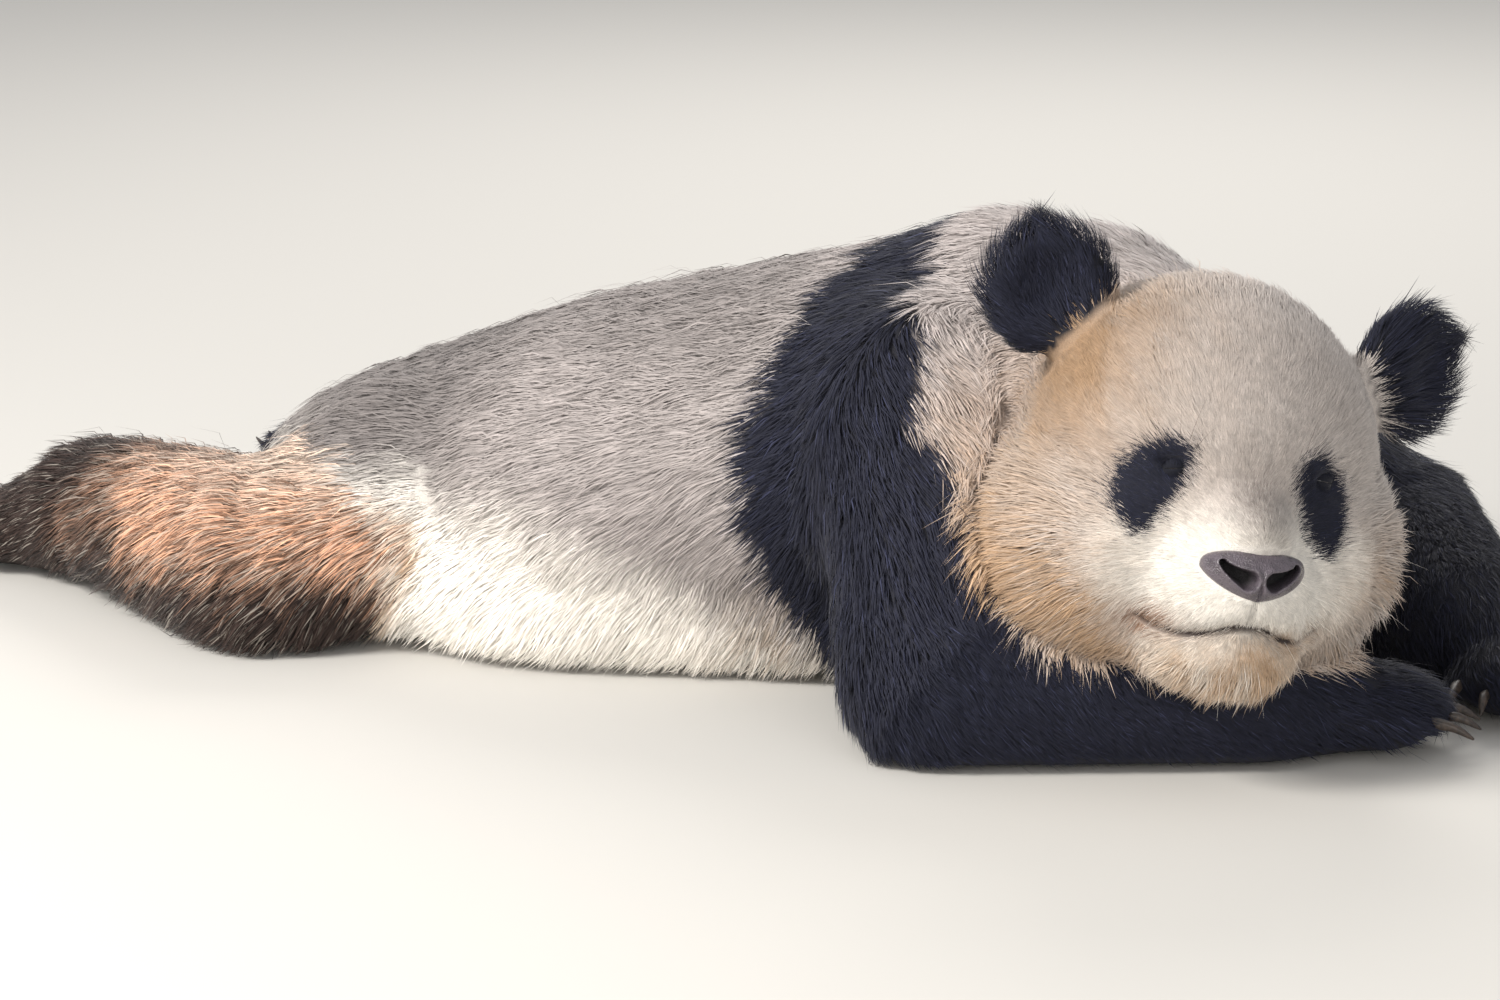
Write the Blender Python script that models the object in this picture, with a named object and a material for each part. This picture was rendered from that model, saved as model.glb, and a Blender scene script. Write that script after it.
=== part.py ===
"""A life-size giant panda, asleep on its belly with its jaw on its folded forelegs.

Metres, +Z up. The trunk lies along X with the head at +X, the animal's left at +Y and the floor at
z = 0. The origin is on the floor under the middle of the trunk. Every solid is the outer form of the
coat; the flesh is some centimetres inside it. Head, neck and trunk are grown from rounded masses as
one body and each leg as another, then parted at the joints by thin cuts.
"""

import math

import bmesh
import bpy
from mathutils import Euler, Matrix, Vector

# Driving dimensions: trunk.
WITHERS_HEIGHT = 0.412
BACK_HEIGHT = 0.308
RUMP_HEIGHT = 0.228
BELLY_HALF_WIDTH = 0.262
CHEST_HALF_WIDTH = 0.205
TAIL_ROOT = -0.515

# The head: where it lies and how it is turned, in degrees.
HEAD_CENTRE = Vector((0.510, -0.186, 0.228))
HEAD_YAW, HEAD_PITCH, HEAD_ROLL = -50.5, 2.7, -8.0
HEAD_HALF_WIDTH = 0.180
SKULL_BACK = -0.085
EYE_RADIUS = 0.0115
EYE_PLACE = (0.114, 0.0615, 0.029)
EAR_RADIUS = 0.059
NOSE_HALF_WIDTH = 0.041
MOUTH_GROOVE = 0.0032

# Leg joints from the body outwards: place and radius.
RIGHT_FORELEG = (
    ((0.245, -0.135, 0.245), 0.115),
    ((0.322, -0.280, 0.056), 0.096),
    ((0.560, -0.178, 0.048), 0.070),
)
LEFT_FORELEG = (
    ((0.275, 0.135, 0.245), 0.122),
    ((0.500, 0.270, 0.066), 0.104),
    ((0.645, 0.105, 0.048), 0.070),
)
RIGHT_HINDLEG = (
    ((-0.280, -0.120, 0.115), 0.115),
    ((-0.350, -0.232, 0.058), 0.106),
    ((-0.610, -0.128, 0.062), 0.076),
)
LEFT_HINDLEG = (
    ((-0.270, 0.120, 0.110), 0.115),
    ((-0.260, 0.255, 0.056), 0.100),
    ((-0.520, 0.205, 0.050), 0.070),
)

RIGHT_HAUNCH = [((-0.320, -0.180, 0.080), (0.140, 0.125, 0.100))]
LEFT_HAUNCH = [((-0.280, 0.180, 0.080), (0.140, 0.125, 0.095))]

# Paws: the middle of the pad, the heading of the toes in degrees, and whether the sole is up.
RIGHT_PAW = ((0.640, -0.120, 0.034), 33.0, False)
LEFT_PAW = ((0.716, 0.036, 0.034), -72.0, False)
RIGHT_FOOT = ((-0.720, -0.138, 0.036), 186.0, True)
LEFT_FOOT = ((-0.605, 0.260, 0.036), 150.0, True)
PAW_HALF_SIZES = (0.070, 0.058, 0.040)
FOOT_HALF_SIZES = (0.092, 0.054, 0.038)
TOE_RADIUS = 0.0165
CLAW_LENGTH = 0.036
CLAW_RADIUS = 0.0058

# How many faces the trunk with the head, a leg and a paw are drawn with.
CORE_FACES, LEG_FACES, PAW_FACES = 2450, 430, 350

# Where the black band crosses the shoulders, and the hair's breadth between neighbours.
BAND_BACK = 0.118
BAND_FRONT = 0.250
GAP = 0.0008

COATS = {
    "white": (0.800, 0.770, 0.700, 1.0),
    "black": (0.022, 0.023, 0.034, 1.0),
    "bleached black": (0.130, 0.062, 0.040, 1.0),
    "nose leather": (0.045, 0.042, 0.048, 1.0),
    "eye": (0.012, 0.009, 0.009, 1.0),
    "claw": (0.300, 0.240, 0.190, 1.0),
}


def head_frame():
    """The head's own frame: +X out of the nose, +Y to its left ear, +Z through the crown."""
    turn = (
        Matrix.Rotation(math.radians(HEAD_YAW), 4, "Z")
        @ Matrix.Rotation(math.radians(-HEAD_PITCH), 4, "Y")
        @ Matrix.Rotation(math.radians(HEAD_ROLL), 4, "X")
    )
    return Matrix.Translation(HEAD_CENTRE) @ turn


def mass(shapes, centre, radii, turn=(0, 0, 0), frame=None, fineness=4):
    """One rounded mass: a sphere stretched to three radii, turned in degrees and set in a frame."""
    place = (
        (frame or Matrix())
        @ Matrix.Translation(centre)
        @ Euler([math.radians(angle) for angle in turn]).to_matrix().to_4x4()
        @ Matrix.Diagonal((*radii, 1))
    )
    bmesh.ops.create_icosphere(shapes, subdivisions=fineness, radius=1, matrix=place)


def stretched(shapes, first, second):
    """A length of body or leg: the skin stretched over a rounded mass at each of its two ends."""
    hull = bmesh.new()
    for centre, size in (first, second):
        radii = size if isinstance(size, tuple) else (size, size, size)
        mass(hull, centre, radii, fineness=3)
    made = bmesh.ops.convex_hull(hull, input=hull.verts)
    inner = [g for g in made["geom_interior"] + made["geom_unused"] if isinstance(g, bmesh.types.BMVert)]
    bmesh.ops.delete(hull, geom=inner, context="VERTS")
    skin = bpy.data.meshes.new("length")
    hull.to_mesh(skin)
    hull.free()
    shapes.from_mesh(skin)
    bpy.data.meshes.remove(skin)


def new_object(name, shapes):
    mesh = bpy.data.meshes.new(name)
    shapes.to_mesh(mesh)
    shapes.free()
    body = bpy.data.objects.new(name, mesh)
    bpy.context.scene.collection.objects.link(body)
    return body


def applied(body):
    """The same object with its modifiers worked into its mesh."""
    graph = bpy.context.evaluated_depsgraph_get()
    made = bpy.data.meshes.new_from_object(body.evaluated_get(graph), depsgraph=graph)
    body.modifiers.clear()
    body.data = made
    return body


def removed(*bodies):
    for body in bodies:
        bpy.data.objects.remove(body)


def copy_of(body, name):
    twin = bpy.data.objects.new(name, body.data.copy())
    bpy.context.scene.collection.objects.link(twin)
    return twin


def combined(body, cutter, operation):
    join = body.modifiers.new(operation.lower(), "BOOLEAN")
    join.operation = operation
    join.solver = "EXACT"
    join.object = cutter
    return applied(body)


def swollen(body, distance):
    """A copy of the body with its whole surface moved outwards."""
    twin = copy_of(body, "swollen")
    push = twin.modifiers.new("outwards", "DISPLACE")
    push.strength = distance
    push.mid_level = 0
    return applied(twin)


def kept_clear(body, *neighbours):
    """Cut the body back by the gap wherever it would run into its neighbours."""
    for neighbour in neighbours:
        cutter = swollen(neighbour, GAP)
        combined(body, cutter, "DIFFERENCE")
        removed(cutter)
    return body


def largest_part(body):
    """Keep only the largest shell of a body, dropping slivers a cut has left loose."""
    shapes = bmesh.new()
    shapes.from_mesh(body.data)
    left = set(shapes.verts)
    shells = []
    while left:
        shell = set()
        edge = {left.pop()}
        while edge:
            shell |= edge
            edge = {e.other_vert(v) for v in edge for e in v.link_edges} - shell
        left -= shell
        shells.append(shell)
    keep = max(shells, key=len)
    bmesh.ops.delete(shapes, geom=[v for v in shapes.verts if v not in keep], context="VERTS")
    shapes.to_mesh(body.data)
    shapes.free()
    return body


def slab(name, centre, size, turn=(0, 0, 0)):
    shapes = bmesh.new()
    place = Matrix.Translation(centre) @ Euler([math.radians(angle) for angle in turn]).to_matrix().to_4x4()
    bmesh.ops.create_cube(shapes, size=1, matrix=place @ Matrix.Diagonal((*size, 1)))
    return new_object(name, shapes)


def parted_by_plane(body, far_name, point, heading):
    """Part a body across a plane; the side the heading points to becomes the new far body."""
    far = copy_of(body, far_name)
    for part, sign in ((body, -1), (far, 1)):
        shapes = bmesh.new()
        shapes.from_mesh(part.data)
        along = Vector(heading).normalized() * sign
        everything = shapes.verts[:] + shapes.edges[:] + shapes.faces[:]
        cut = bmesh.ops.bisect_plane(
            shapes,
            geom=everything,
            plane_co=Vector(point) + along * GAP / 2,
            plane_no=along,
            clear_inner=True,
        )
        rim = [g for g in cut["geom_cut"] if isinstance(g, bmesh.types.BMEdge)]
        bmesh.ops.triangle_fill(shapes, use_beauty=True, edges=rim, normal=-along)
        shapes.to_mesh(part.data)
        shapes.free()
    return far


def grown_together(name, shapes, cell, rounds, triangles):
    """Masses made one closed surface, softened where they meet and flat where they press the floor."""
    body = new_object(name, shapes)
    remesh = body.modifiers.new("one surface", "REMESH")
    remesh.mode = "VOXEL"
    remesh.voxel_size = cell
    soften = body.modifiers.new("soften", "SMOOTH")
    soften.factor = 0.5
    soften.iterations = rounds
    applied(body)
    body.data.calc_loop_triangles()
    thin = body.modifiers.new("fewer faces", "DECIMATE")
    thin.ratio = triangles / len(body.data.loop_triangles)
    applied(body)
    below = slab("floor", (0, 0, -0.25), (4, 4, 0.5))
    combined(body, below, "DIFFERENCE")
    removed(below)
    return body


# Trunk, neck and head.


def trunk_masses(shapes):
    """Ribcage, belly and rump in one line, withers and shoulder blades, and the tail."""
    chest = ((0.170, 0, 0.185), (0.190, CHEST_HALF_WIDTH, 0.198))
    belly = ((-0.070, 0, BACK_HEIGHT - 0.180), (0.240, BELLY_HALF_WIDTH, 0.188))
    rump = ((-0.315, 0, RUMP_HEIGHT - 0.140), (0.190, 0.195, 0.136))
    withers = ((0.250, 0, WITHERS_HEIGHT - 0.135), (0.115, 0.135, 0.140))
    stretched(shapes, belly, chest)
    stretched(shapes, belly, rump)
    stretched(shapes, withers, ((0.060, 0, BACK_HEIGHT - 0.130), (0.100, 0.150, 0.160)))
    for side in (-1, 1):
        mass(shapes, (0.215, side * 0.105, 0.225), (0.130, 0.115, 0.142))
    spread_chest = ((0.140, 0, 0.045), (0.190, 0.180, 0.110))
    spread_belly = ((-0.130, 0, 0.045), (0.270, BELLY_HALF_WIDTH + 0.012, 0.115))
    stretched(shapes, spread_chest, spread_belly)
    mass(shapes, (-0.545, 0, 0.064), (0.066, 0.048, 0.038), turn=(0, -14, 0))


def neck_masses(shapes):
    """A thick neck that turns from the withers to the back of the skull."""
    mass(shapes, (0.330, -0.020, 0.240), (0.150, 0.165, 0.170))
    mass(shapes, (0.400, -0.070, 0.230), (0.130, 0.160, 0.165))


def head_masses(shapes):
    """Skull, brow, two cheek ruffs, muzzle, bridge, chin and jaw."""
    frame = head_frame()
    mass(shapes, (-0.010, 0, 0.030), (0.150, 0.152, 0.145), frame=frame)
    mass(shapes, (0.055, 0, 0.040), (0.085, 0.100, 0.085), frame=frame)
    for side in (-1, 1):
        cheek = (0.000, side * (HEAD_HALF_WIDTH - 0.097), -0.045)
        mass(shapes, cheek, (0.125, 0.098, 0.110), frame=frame)
    mass(shapes, (0.108, 0, -0.060), (0.074, 0.068, 0.053), frame=frame)
    mass(shapes, (0.105, 0, -0.012), (0.078, 0.042, 0.040), frame=frame)
    mass(shapes, (0.098, 0, -0.110), (0.072, 0.064, 0.042), frame=frame)
    mass(shapes, (0.040, 0, -0.085), (0.105, 0.108, 0.068), frame=frame)


def ear(name, centre, turn, skull):
    """A round, cupped ear: a thick disc with its front hollowed, set against the skull."""
    frame = head_frame()
    shapes = bmesh.new()
    mass(shapes, centre, (0.024, EAR_RADIUS, EAR_RADIUS), turn=turn, frame=frame, fineness=2)
    body = new_object(name, shapes)
    facing = Euler([math.radians(angle) for angle in turn]).to_matrix() @ Vector((1, 0, 0))
    hollow = bmesh.new()
    front = Vector(centre) + facing * 0.026
    cup = (0.020, EAR_RADIUS * 0.66, EAR_RADIUS * 0.66)
    mass(hollow, front, cup, turn=turn, frame=frame, fineness=2)
    cutter = new_object("hollow", hollow)
    combined(body, cutter, "DIFFERENCE")
    removed(cutter)
    return largest_part(kept_clear(body, skull))


def eye(name, side, skull):
    """The eyeball, and in the skull its socket behind a narrow slit of lid."""
    x, y, z = EYE_PLACE
    frame = head_frame()
    shapes = bmesh.new()
    mass(shapes, (x, side * y, z), (EYE_RADIUS,) * 3, frame=frame, fineness=2)
    body = new_object(name, shapes)
    slit = bmesh.new()
    opening = (x + EYE_RADIUS, side * (y + 0.002), z)
    mass(slit, opening, (0.012, 0.0165, 0.0065), turn=(side * -14, 0, side * 28), frame=frame, fineness=2)
    cutter = new_object("slit", slit)
    combined(skull, cutter, "DIFFERENCE")
    removed(cutter)
    kept_clear(skull, body)
    return body


def on_surface(body, point):
    """The nearest place on the body's skin to a point of the head's frame."""
    found, place, _, _ = body.closest_point_on_mesh(head_frame() @ Vector(point))
    return place


def mouth_groove(skull):
    """The line of the lips, from corner to corner, and the short furrow up to the nose."""
    half = [(0.178, 0.000, -0.084), (0.172, 0.024, -0.092), (0.152, 0.052, -0.098), (0.122, 0.076, -0.088)]
    lips = [(x, -y, z) for x, y, z in reversed(half)] + half[1:]
    furrow = [(0.186, 0, -0.060), (0.182, 0, -0.083)]
    for path in (lips, furrow):
        places = [on_surface(skull, point) for point in path]
        cutter = new_object("groove", tube(places, [MOUTH_GROOVE] * len(places), 6))
        combined(skull, cutter, "DIFFERENCE")
        removed(cutter)


def tube(places, radii, sides):
    """A closed tube through the places, each ring square to the path there."""
    shapes = bmesh.new()
    rings = []
    for number, (place, radius) in enumerate(zip(places, radii)):
        before = places[max(number - 1, 0)]
        after = places[min(number + 1, len(places) - 1)]
        along = (Vector(after) - Vector(before)).to_track_quat("Z", "Y").to_matrix()
        turns = [2 * math.pi * step / sides for step in range(sides)]
        ring = [Vector(place) + along @ Vector((math.cos(t), math.sin(t), 0)) * radius for t in turns]
        rings.append([shapes.verts.new(corner) for corner in ring])
    for first, second in zip(rings, rings[1:]):
        for step in range(sides):
            following = (step + 1) % sides
            shapes.faces.new((first[step], first[following], second[following], second[step]))
    shapes.faces.new(reversed(rings[0]))
    shapes.faces.new(rings[-1])
    return shapes


def nose(skull):
    """The leathery pad on the end of the muzzle, with its two nostrils."""
    frame = head_frame()
    shapes = bmesh.new()
    pad = (0.019, NOSE_HALF_WIDTH, 0.023)
    mass(shapes, (0.170, 0, -0.042), pad, turn=(0, 12, 0), frame=frame, fineness=2)
    body = new_object("nose", shapes)
    for side in (-1, 1):
        nostril = bmesh.new()
        place = (0.188, side * 0.018, -0.046)
        mass(nostril, place, (0.009, 0.0085, 0.0055), turn=(side * 25, 0, 0), frame=frame, fineness=1)
        cutter = new_object("nostril", nostril)
        combined(body, cutter, "DIFFERENCE")
        removed(cutter)
    return largest_part(kept_clear(body, skull))


def body_parts():
    """Grow the body whole, then part trunk, tail, shoulders, neck and head."""
    shapes = bmesh.new()
    trunk_masses(shapes)
    neck_masses(shapes)
    head_masses(shapes)
    trunk = grown_together("trunk", shapes, 0.007, 16, CORE_FACES)
    whole = copy_of(trunk, "whole")
    shoulders = parted_by_plane(trunk, "shoulders", (BAND_BACK, 0, 0.2), (1, 0, -0.05))
    neck = parted_by_plane(shoulders, "neck", (BAND_FRONT, 0, WITHERS_HEIGHT), (1, 0, 0.2))
    frame = head_frame()
    nape = frame @ Vector((SKULL_BACK, 0, 0))
    skull = parted_by_plane(neck, "head", nape, frame.to_3x3() @ Vector((1, 0, 0.15)))
    tail = parted_by_plane(trunk, "tail", (TAIL_ROOT, 0, 0.06), (-1, 0, -0.2))
    for side, word in ((-1, "right"), (1, "left")):
        painted(eye("eye_" + word, side, skull), "eye")
    mouth_groove(skull)
    painted(nose(skull), "nose leather")
    painted(ear("ear_right", (-0.024, -0.142, 0.148), (0, 0, -12), skull), "black")
    painted(ear("ear_left", (-0.004, 0.163, 0.113), (0, 0, 30), skull), "black")
    for part in (trunk, neck, skull, tail):
        painted(part, "white")
    painted(shoulders, "black")
    return whole


# Legs.


def paw_frame(paw):
    """A paw's own frame: +X out through the toes, +Z out of its upper side."""
    place, heading, sole_up = paw
    turn = Matrix.Rotation(math.radians(heading), 4, "Z")
    if sole_up:
        turn = turn @ Matrix.Rotation(math.pi, 4, "X")
    return Matrix.Translation(place) @ turn


def toe_tips(half_sizes):
    """Where each of the five toes ends, and its heading, in the paw's frame."""
    length, width, _ = half_sizes
    for number in range(-2, 3):
        across = number / 2 * (width - TOE_RADIUS * 0.7)
        forward = length * 0.80 - abs(number) ** 1.6 * 0.006
        yield Vector((forward, across, -0.006)), number * 7.0


def leg_parts(name, words, joints, paw, half_sizes, neighbours, extra=()):
    """Grow a leg whole, part it at its two joints, and give it toes and claws."""
    frame = paw_frame(paw)
    leg = bmesh.new()
    foot = bmesh.new()
    for start, end in zip(joints, joints[1:]):
        stretched(leg, start, end)
    for centre, radii in extra:
        mass(leg, centre, radii)
    for shapes in (leg, foot):
        stretched(shapes, joints[-1], (frame.translation, half_sizes[2]))
        mass(shapes, (0, 0, 0), half_sizes, frame=frame)
    for tip, heading in toe_tips(half_sizes):
        root = tip - Vector((0.022, 0, 0))
        toe = (TOE_RADIUS * 1.9, TOE_RADIUS, TOE_RADIUS * 1.15)
        mass(foot, root, toe, turn=(0, 0, heading), frame=frame, fineness=3)
    upper = grown_together(name + words[0], leg, 0.006, 10, LEG_FACES)
    whole = copy_of(upper, "whole leg")
    ankle = grown_together("ankle", foot, 0.004, 3, PAW_FACES)
    for part in (upper, ankle):
        largest_part(kept_clear(part, *neighbours))
    hip, knee, wrist = (Vector(place) for place, _ in joints)
    onwards = frame.translation - wrist
    joint = wrist + onwards * 0.2
    halfway = (knee - hip).normalized() + (wrist - knee).normalized()
    lower = parted_by_plane(upper, name + words[1], knee, halfway)
    removed(parted_by_plane(lower, "spare", joint, onwards))
    end = parted_by_plane(ankle, name + words[2], joint, onwards)
    removed(ankle)
    for part in (upper, lower, end):
        largest_part(part)
    claws(name + words[2], frame, half_sizes, end)
    return upper, lower, end, whole


def claws(name, frame, half_sizes, paw):
    """Five curved claws, one from the end of each toe."""
    for number, (tip, heading) in enumerate(toe_tips(half_sizes), 1):
        turn = Matrix.Rotation(math.radians(heading), 3, "Z")
        root = tip + turn @ Vector((0.004, 0, 0.006))
        steps = (0, 0.55, 1)
        curve = [(CLAW_LENGTH * t, 0, 0.004 * t - 0.017 * t * t) for t in steps]
        places = [frame @ (root + turn @ Vector(point)) for point in curve]
        radii = [CLAW_RADIUS * (1 - 0.8 * t * t) for t in steps]
        body = new_object(f"{name}_claw_{number}", tube(places, radii, 5))
        painted(largest_part(kept_clear(body, paw)), "claw")


def painted(body, coat):
    """Give a part its own material."""
    material = bpy.data.materials.new(body.name + " " + coat)
    material.use_nodes = True
    surface = material.node_tree.nodes["Principled BSDF"]
    surface.inputs["Base Color"].default_value = COATS[coat]
    surface.inputs["Roughness"].default_value = 0.35 if coat in ("eye", "nose leather", "claw") else 0.9
    body.data.materials.clear()
    body.data.materials.append(material)
    return body


def main():
    for old in list(bpy.data.objects):
        bpy.data.objects.remove(old)
    solid = [body_parts()]
    fore = ("upper_arm", "forearm", "paw")
    hind = ("thigh", "shank", "foot")
    legs = (
        ("right_", fore, RIGHT_FORELEG, RIGHT_PAW, PAW_HALF_SIZES, ()),
        ("left_", fore, LEFT_FORELEG, LEFT_PAW, PAW_HALF_SIZES, ()),
        ("right_", hind, RIGHT_HINDLEG, RIGHT_FOOT, FOOT_HALF_SIZES, RIGHT_HAUNCH),
        ("left_", hind, LEFT_HINDLEG, LEFT_FOOT, FOOT_HALF_SIZES, LEFT_HAUNCH),
    )
    for name, words, joints, paw, half_sizes, extra in legs:
        upper, lower, end, whole = leg_parts(name, words, joints, paw, half_sizes, solid, extra)
        solid += [whole, copy_of(end, "end of leg")]
        painted(upper, "bleached black" if words is hind else "black")
        painted(lower, "black")
        painted(end, "black")
    removed(*solid)


main()
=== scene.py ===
"""A giant panda asleep on its belly: one hide over head, trunk and limbs, a coat of overlapping locks
of hair over it, and its eyes, nose leather, whiskers and claws."""

import math

import bmesh
import bpy
import numpy as np
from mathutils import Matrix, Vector
from mathutils.bvhtree import BVHTree


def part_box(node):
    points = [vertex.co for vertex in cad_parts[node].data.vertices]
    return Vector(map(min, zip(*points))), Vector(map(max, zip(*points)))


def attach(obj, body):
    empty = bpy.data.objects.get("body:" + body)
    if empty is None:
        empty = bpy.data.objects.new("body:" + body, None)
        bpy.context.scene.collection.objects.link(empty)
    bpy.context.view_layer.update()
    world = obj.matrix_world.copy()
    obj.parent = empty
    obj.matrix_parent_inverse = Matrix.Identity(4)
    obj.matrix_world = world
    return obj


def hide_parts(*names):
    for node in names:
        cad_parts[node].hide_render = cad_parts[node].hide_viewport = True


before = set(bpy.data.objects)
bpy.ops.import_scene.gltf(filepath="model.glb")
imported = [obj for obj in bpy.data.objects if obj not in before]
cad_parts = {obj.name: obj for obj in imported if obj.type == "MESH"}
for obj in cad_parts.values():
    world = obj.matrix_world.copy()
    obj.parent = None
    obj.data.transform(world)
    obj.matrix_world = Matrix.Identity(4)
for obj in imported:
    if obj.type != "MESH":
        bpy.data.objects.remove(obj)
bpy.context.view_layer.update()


# The room: a pale seamless floor under an even sky, a large soft lamp high on the camera's left, a
# weaker one on its right, one behind the animal and a faint low one in front. The camera stands off
# the animal's right shoulder, a little above it.

CAMERA_AZIMUTH, CAMERA_HEIGHT_ANGLE, CAMERA_DISTANCE = math.radians(27), math.radians(14), 4.4
CAMERA_TARGET = Vector((0, 0, 0.114))
CAMERA_LENS, CAMERA_FARTHEST = 116.05, 60
#        name, watts, width, place
LAMPS = (
    ("key lamp", 195, 1.5, (-1.5, -2.9, 2.9)),
    ("fill lamp", 55, 2.5, (3.2, -3.2, 1.0)),
    ("back lamp", 60, 1.5, (-0.8, 3.0, 2.6)),
    ("low lamp", 16, 1.2, (-0.4, -2.6, 0.65)),
)
LAMPS_AIM_AT, LAMP_COLOUR = (0, 0, 0.15), (1.0, 0.965, 0.925)
SKY_COLOUR, SKY_STRENGTH = (0.86, 0.87, 0.90, 1), 0.60
FLOOR_HALF_WIDTH, FLOOR_COLOUR = 30.0, (0.60, 0.585, 0.55, 1)


def aimed(name, data, place, target):
    """A lamp or camera at a place, its -Z axis pointing at the target."""
    thing = bpy.data.objects.new(name, data)
    thing.location = place
    thing.rotation_mode = "QUATERNION"
    thing.rotation_quaternion = (Vector(target) - Vector(place)).to_track_quat("-Z", "Y")
    bpy.context.scene.collection.objects.link(thing)
    return thing


toward_camera = Vector(
    (
        math.sin(CAMERA_AZIMUTH) * math.cos(CAMERA_HEIGHT_ANGLE),
        -math.cos(CAMERA_AZIMUTH) * math.cos(CAMERA_HEIGHT_ANGLE),
        math.sin(CAMERA_HEIGHT_ANGLE),
    )
)
lens = bpy.data.cameras.new("camera")
lens.lens, lens.clip_end = CAMERA_LENS, CAMERA_FARTHEST
camera_place = CAMERA_TARGET + toward_camera * CAMERA_DISTANCE
bpy.context.scene.camera = aimed("camera", lens, camera_place, CAMERA_TARGET)

for lamp_name, power, size, place in LAMPS:
    lamp = bpy.data.lights.new(lamp_name, "AREA")
    lamp.energy, lamp.size, lamp.color = power, size, LAMP_COLOUR
    aimed(lamp_name, lamp, place, LAMPS_AIM_AT)

sky = bpy.data.worlds.new("sky")
sky.use_nodes = True
sky.node_tree.nodes["Background"].inputs["Color"].default_value = SKY_COLOUR
sky.node_tree.nodes["Background"].inputs["Strength"].default_value = SKY_STRENGTH
bpy.context.scene.world = sky
bpy.context.scene.view_settings.view_transform = "Standard"

floor_mesh = bpy.data.meshes.new("floor")
floor_corners = np.array([(-1, -1, 0), (1, -1, 0), (1, 1, 0), (-1, 1, 0)]) * FLOOR_HALF_WIDTH
floor_mesh.from_pydata(floor_corners.tolist(), [], [(0, 1, 2, 3)])
floor = bpy.data.objects.new("floor", floor_mesh)
bpy.context.scene.collection.objects.link(floor)
floor_material = bpy.data.materials.new("pale floor")
floor_material.use_nodes = True
floor_surface = floor_material.node_tree.nodes["Principled BSDF"]
floor_surface.inputs["Base Color"].default_value = FLOOR_COLOUR
floor_surface.inputs["Roughness"].default_value = 0.85
floor_mesh.materials.append(floor_material)


# The head's own frame, read from the eyes and the nose leather: forward out of the nose, across to
# the animal's left, and up through the crown, in metres from the middle of the skull.

FACE_DROP = math.radians(50.75)
EYES_FORWARD, EYES_UP = 0.114, 0.029


def middle(node):
    low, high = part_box(node)
    return np.array((low + high) / 2)


def unit(vectors):
    """Vectors of length one, along the last axis."""
    return vectors / np.maximum(np.linalg.norm(vectors, axis=-1, keepdims=True), 1e-9)


eye_places = {-1: middle("eye_right"), 1: middle("eye_left")}
between_eyes = (eye_places[-1] + eye_places[1]) / 2
head_across = unit(eye_places[1] - eye_places[-1])
down_face = middle("nose") - between_eyes
down_face = unit(down_face - head_across * (down_face @ head_across))
square_to_face = np.cross(down_face, head_across)
head_forward = math.cos(FACE_DROP) * down_face + math.sin(FACE_DROP) * square_to_face
head_up = np.cross(head_forward, head_across)
head_axes = np.array([head_forward, head_across, head_up])
head_middle = between_eyes - EYES_FORWARD * head_forward - EYES_UP * head_up


def in_head(places):
    """World places in the head's own frame."""
    return (places - head_middle) @ head_axes.T


def from_head(places):
    """Places of the head's own frame in the world."""
    return np.asarray(places) @ head_axes + head_middle


# The hide: one skin over trunk, neck, head, ears and all four legs, without seams between them. It
# lies inside the solids by the depth of the coat there, and keeps off the floor.

SIDES = {"right": -1, "left": 1}
LIMBS = {
    f"{side}_{end}": [f"{side}_{part}" for part in parts]
    for side in SIDES
    for end, parts in (("arm", ("upper_arm", "forearm", "paw")), ("leg", ("thigh", "shank", "foot")))
}
EARS = ["ear_right", "ear_left"]
BODY = ["head", "neck", "shoulders", "trunk", "tail"]
UPPER_LIMBS = [f"{side}_{part}" for side in SIDES for part in ("upper_arm", "thigh")]
TORSO = BODY + UPPER_LIMBS
OTHER_PIECES = ("eye_right", "eye_left", "nose")
FLESH = [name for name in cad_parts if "claw" not in name and name not in OTHER_PIECES]
COAT_DEPTHS = {
    "trunk": 0.016,
    "tail": 0.012,
    "shoulders": 0.014,
    "neck": 0.012,
    "head": 0.008,
    "ear": 0.0045,
    "upper_arm": 0.013,
    "forearm": 0.0045,
    "paw": 0.005,
    "thigh": 0.014,
    "shank": 0.012,
    "foot": 0.005,
}
TORSO_CELL, LIMB_CELL, EAR_CELL, HIDE_CELL = 0.006, 0.0045, 0.003, 0.0078
TORSO_ROUNDS, LIMB_ROUNDS, EAR_ROUNDS, HIDE_ROUNDS = 16, 6, 4, 2
DEPTH_ROUNDS, BODY_EDGE_ROUNDS, BODY_SMOOTH_ROUNDS = 8, 2, 24
SWELLING, WELD = 0.0009, 1e-5
LEAST_HEIGHT = 0.0025
EAR_DROP = 0.0065


def put(name, mesh):
    """A new object at the origin, its place in its mesh."""
    thing = bpy.data.objects.new(name, mesh)
    bpy.context.scene.collection.objects.link(thing)
    return thing


def values_of(parts, what, width, kind=float):
    """One property of every vertex, edge, face or triangle of a mesh, a row each."""
    values = np.empty(len(parts) * width, dtype=kind)
    parts.foreach_get(what, values)
    return values.reshape(-1, width)


def places_of(mesh):
    return values_of(mesh.vertices, "co", 3)


def normals_of(mesh):
    return values_of(mesh.vertices, "normal", 3)


def edges_of(mesh):
    return values_of(mesh.edges, "vertices", 2, int)


def move_to(mesh, places):
    mesh.vertices.foreach_set("co", np.ascontiguousarray(places, dtype=np.float32).ravel())
    mesh.update()


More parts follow.
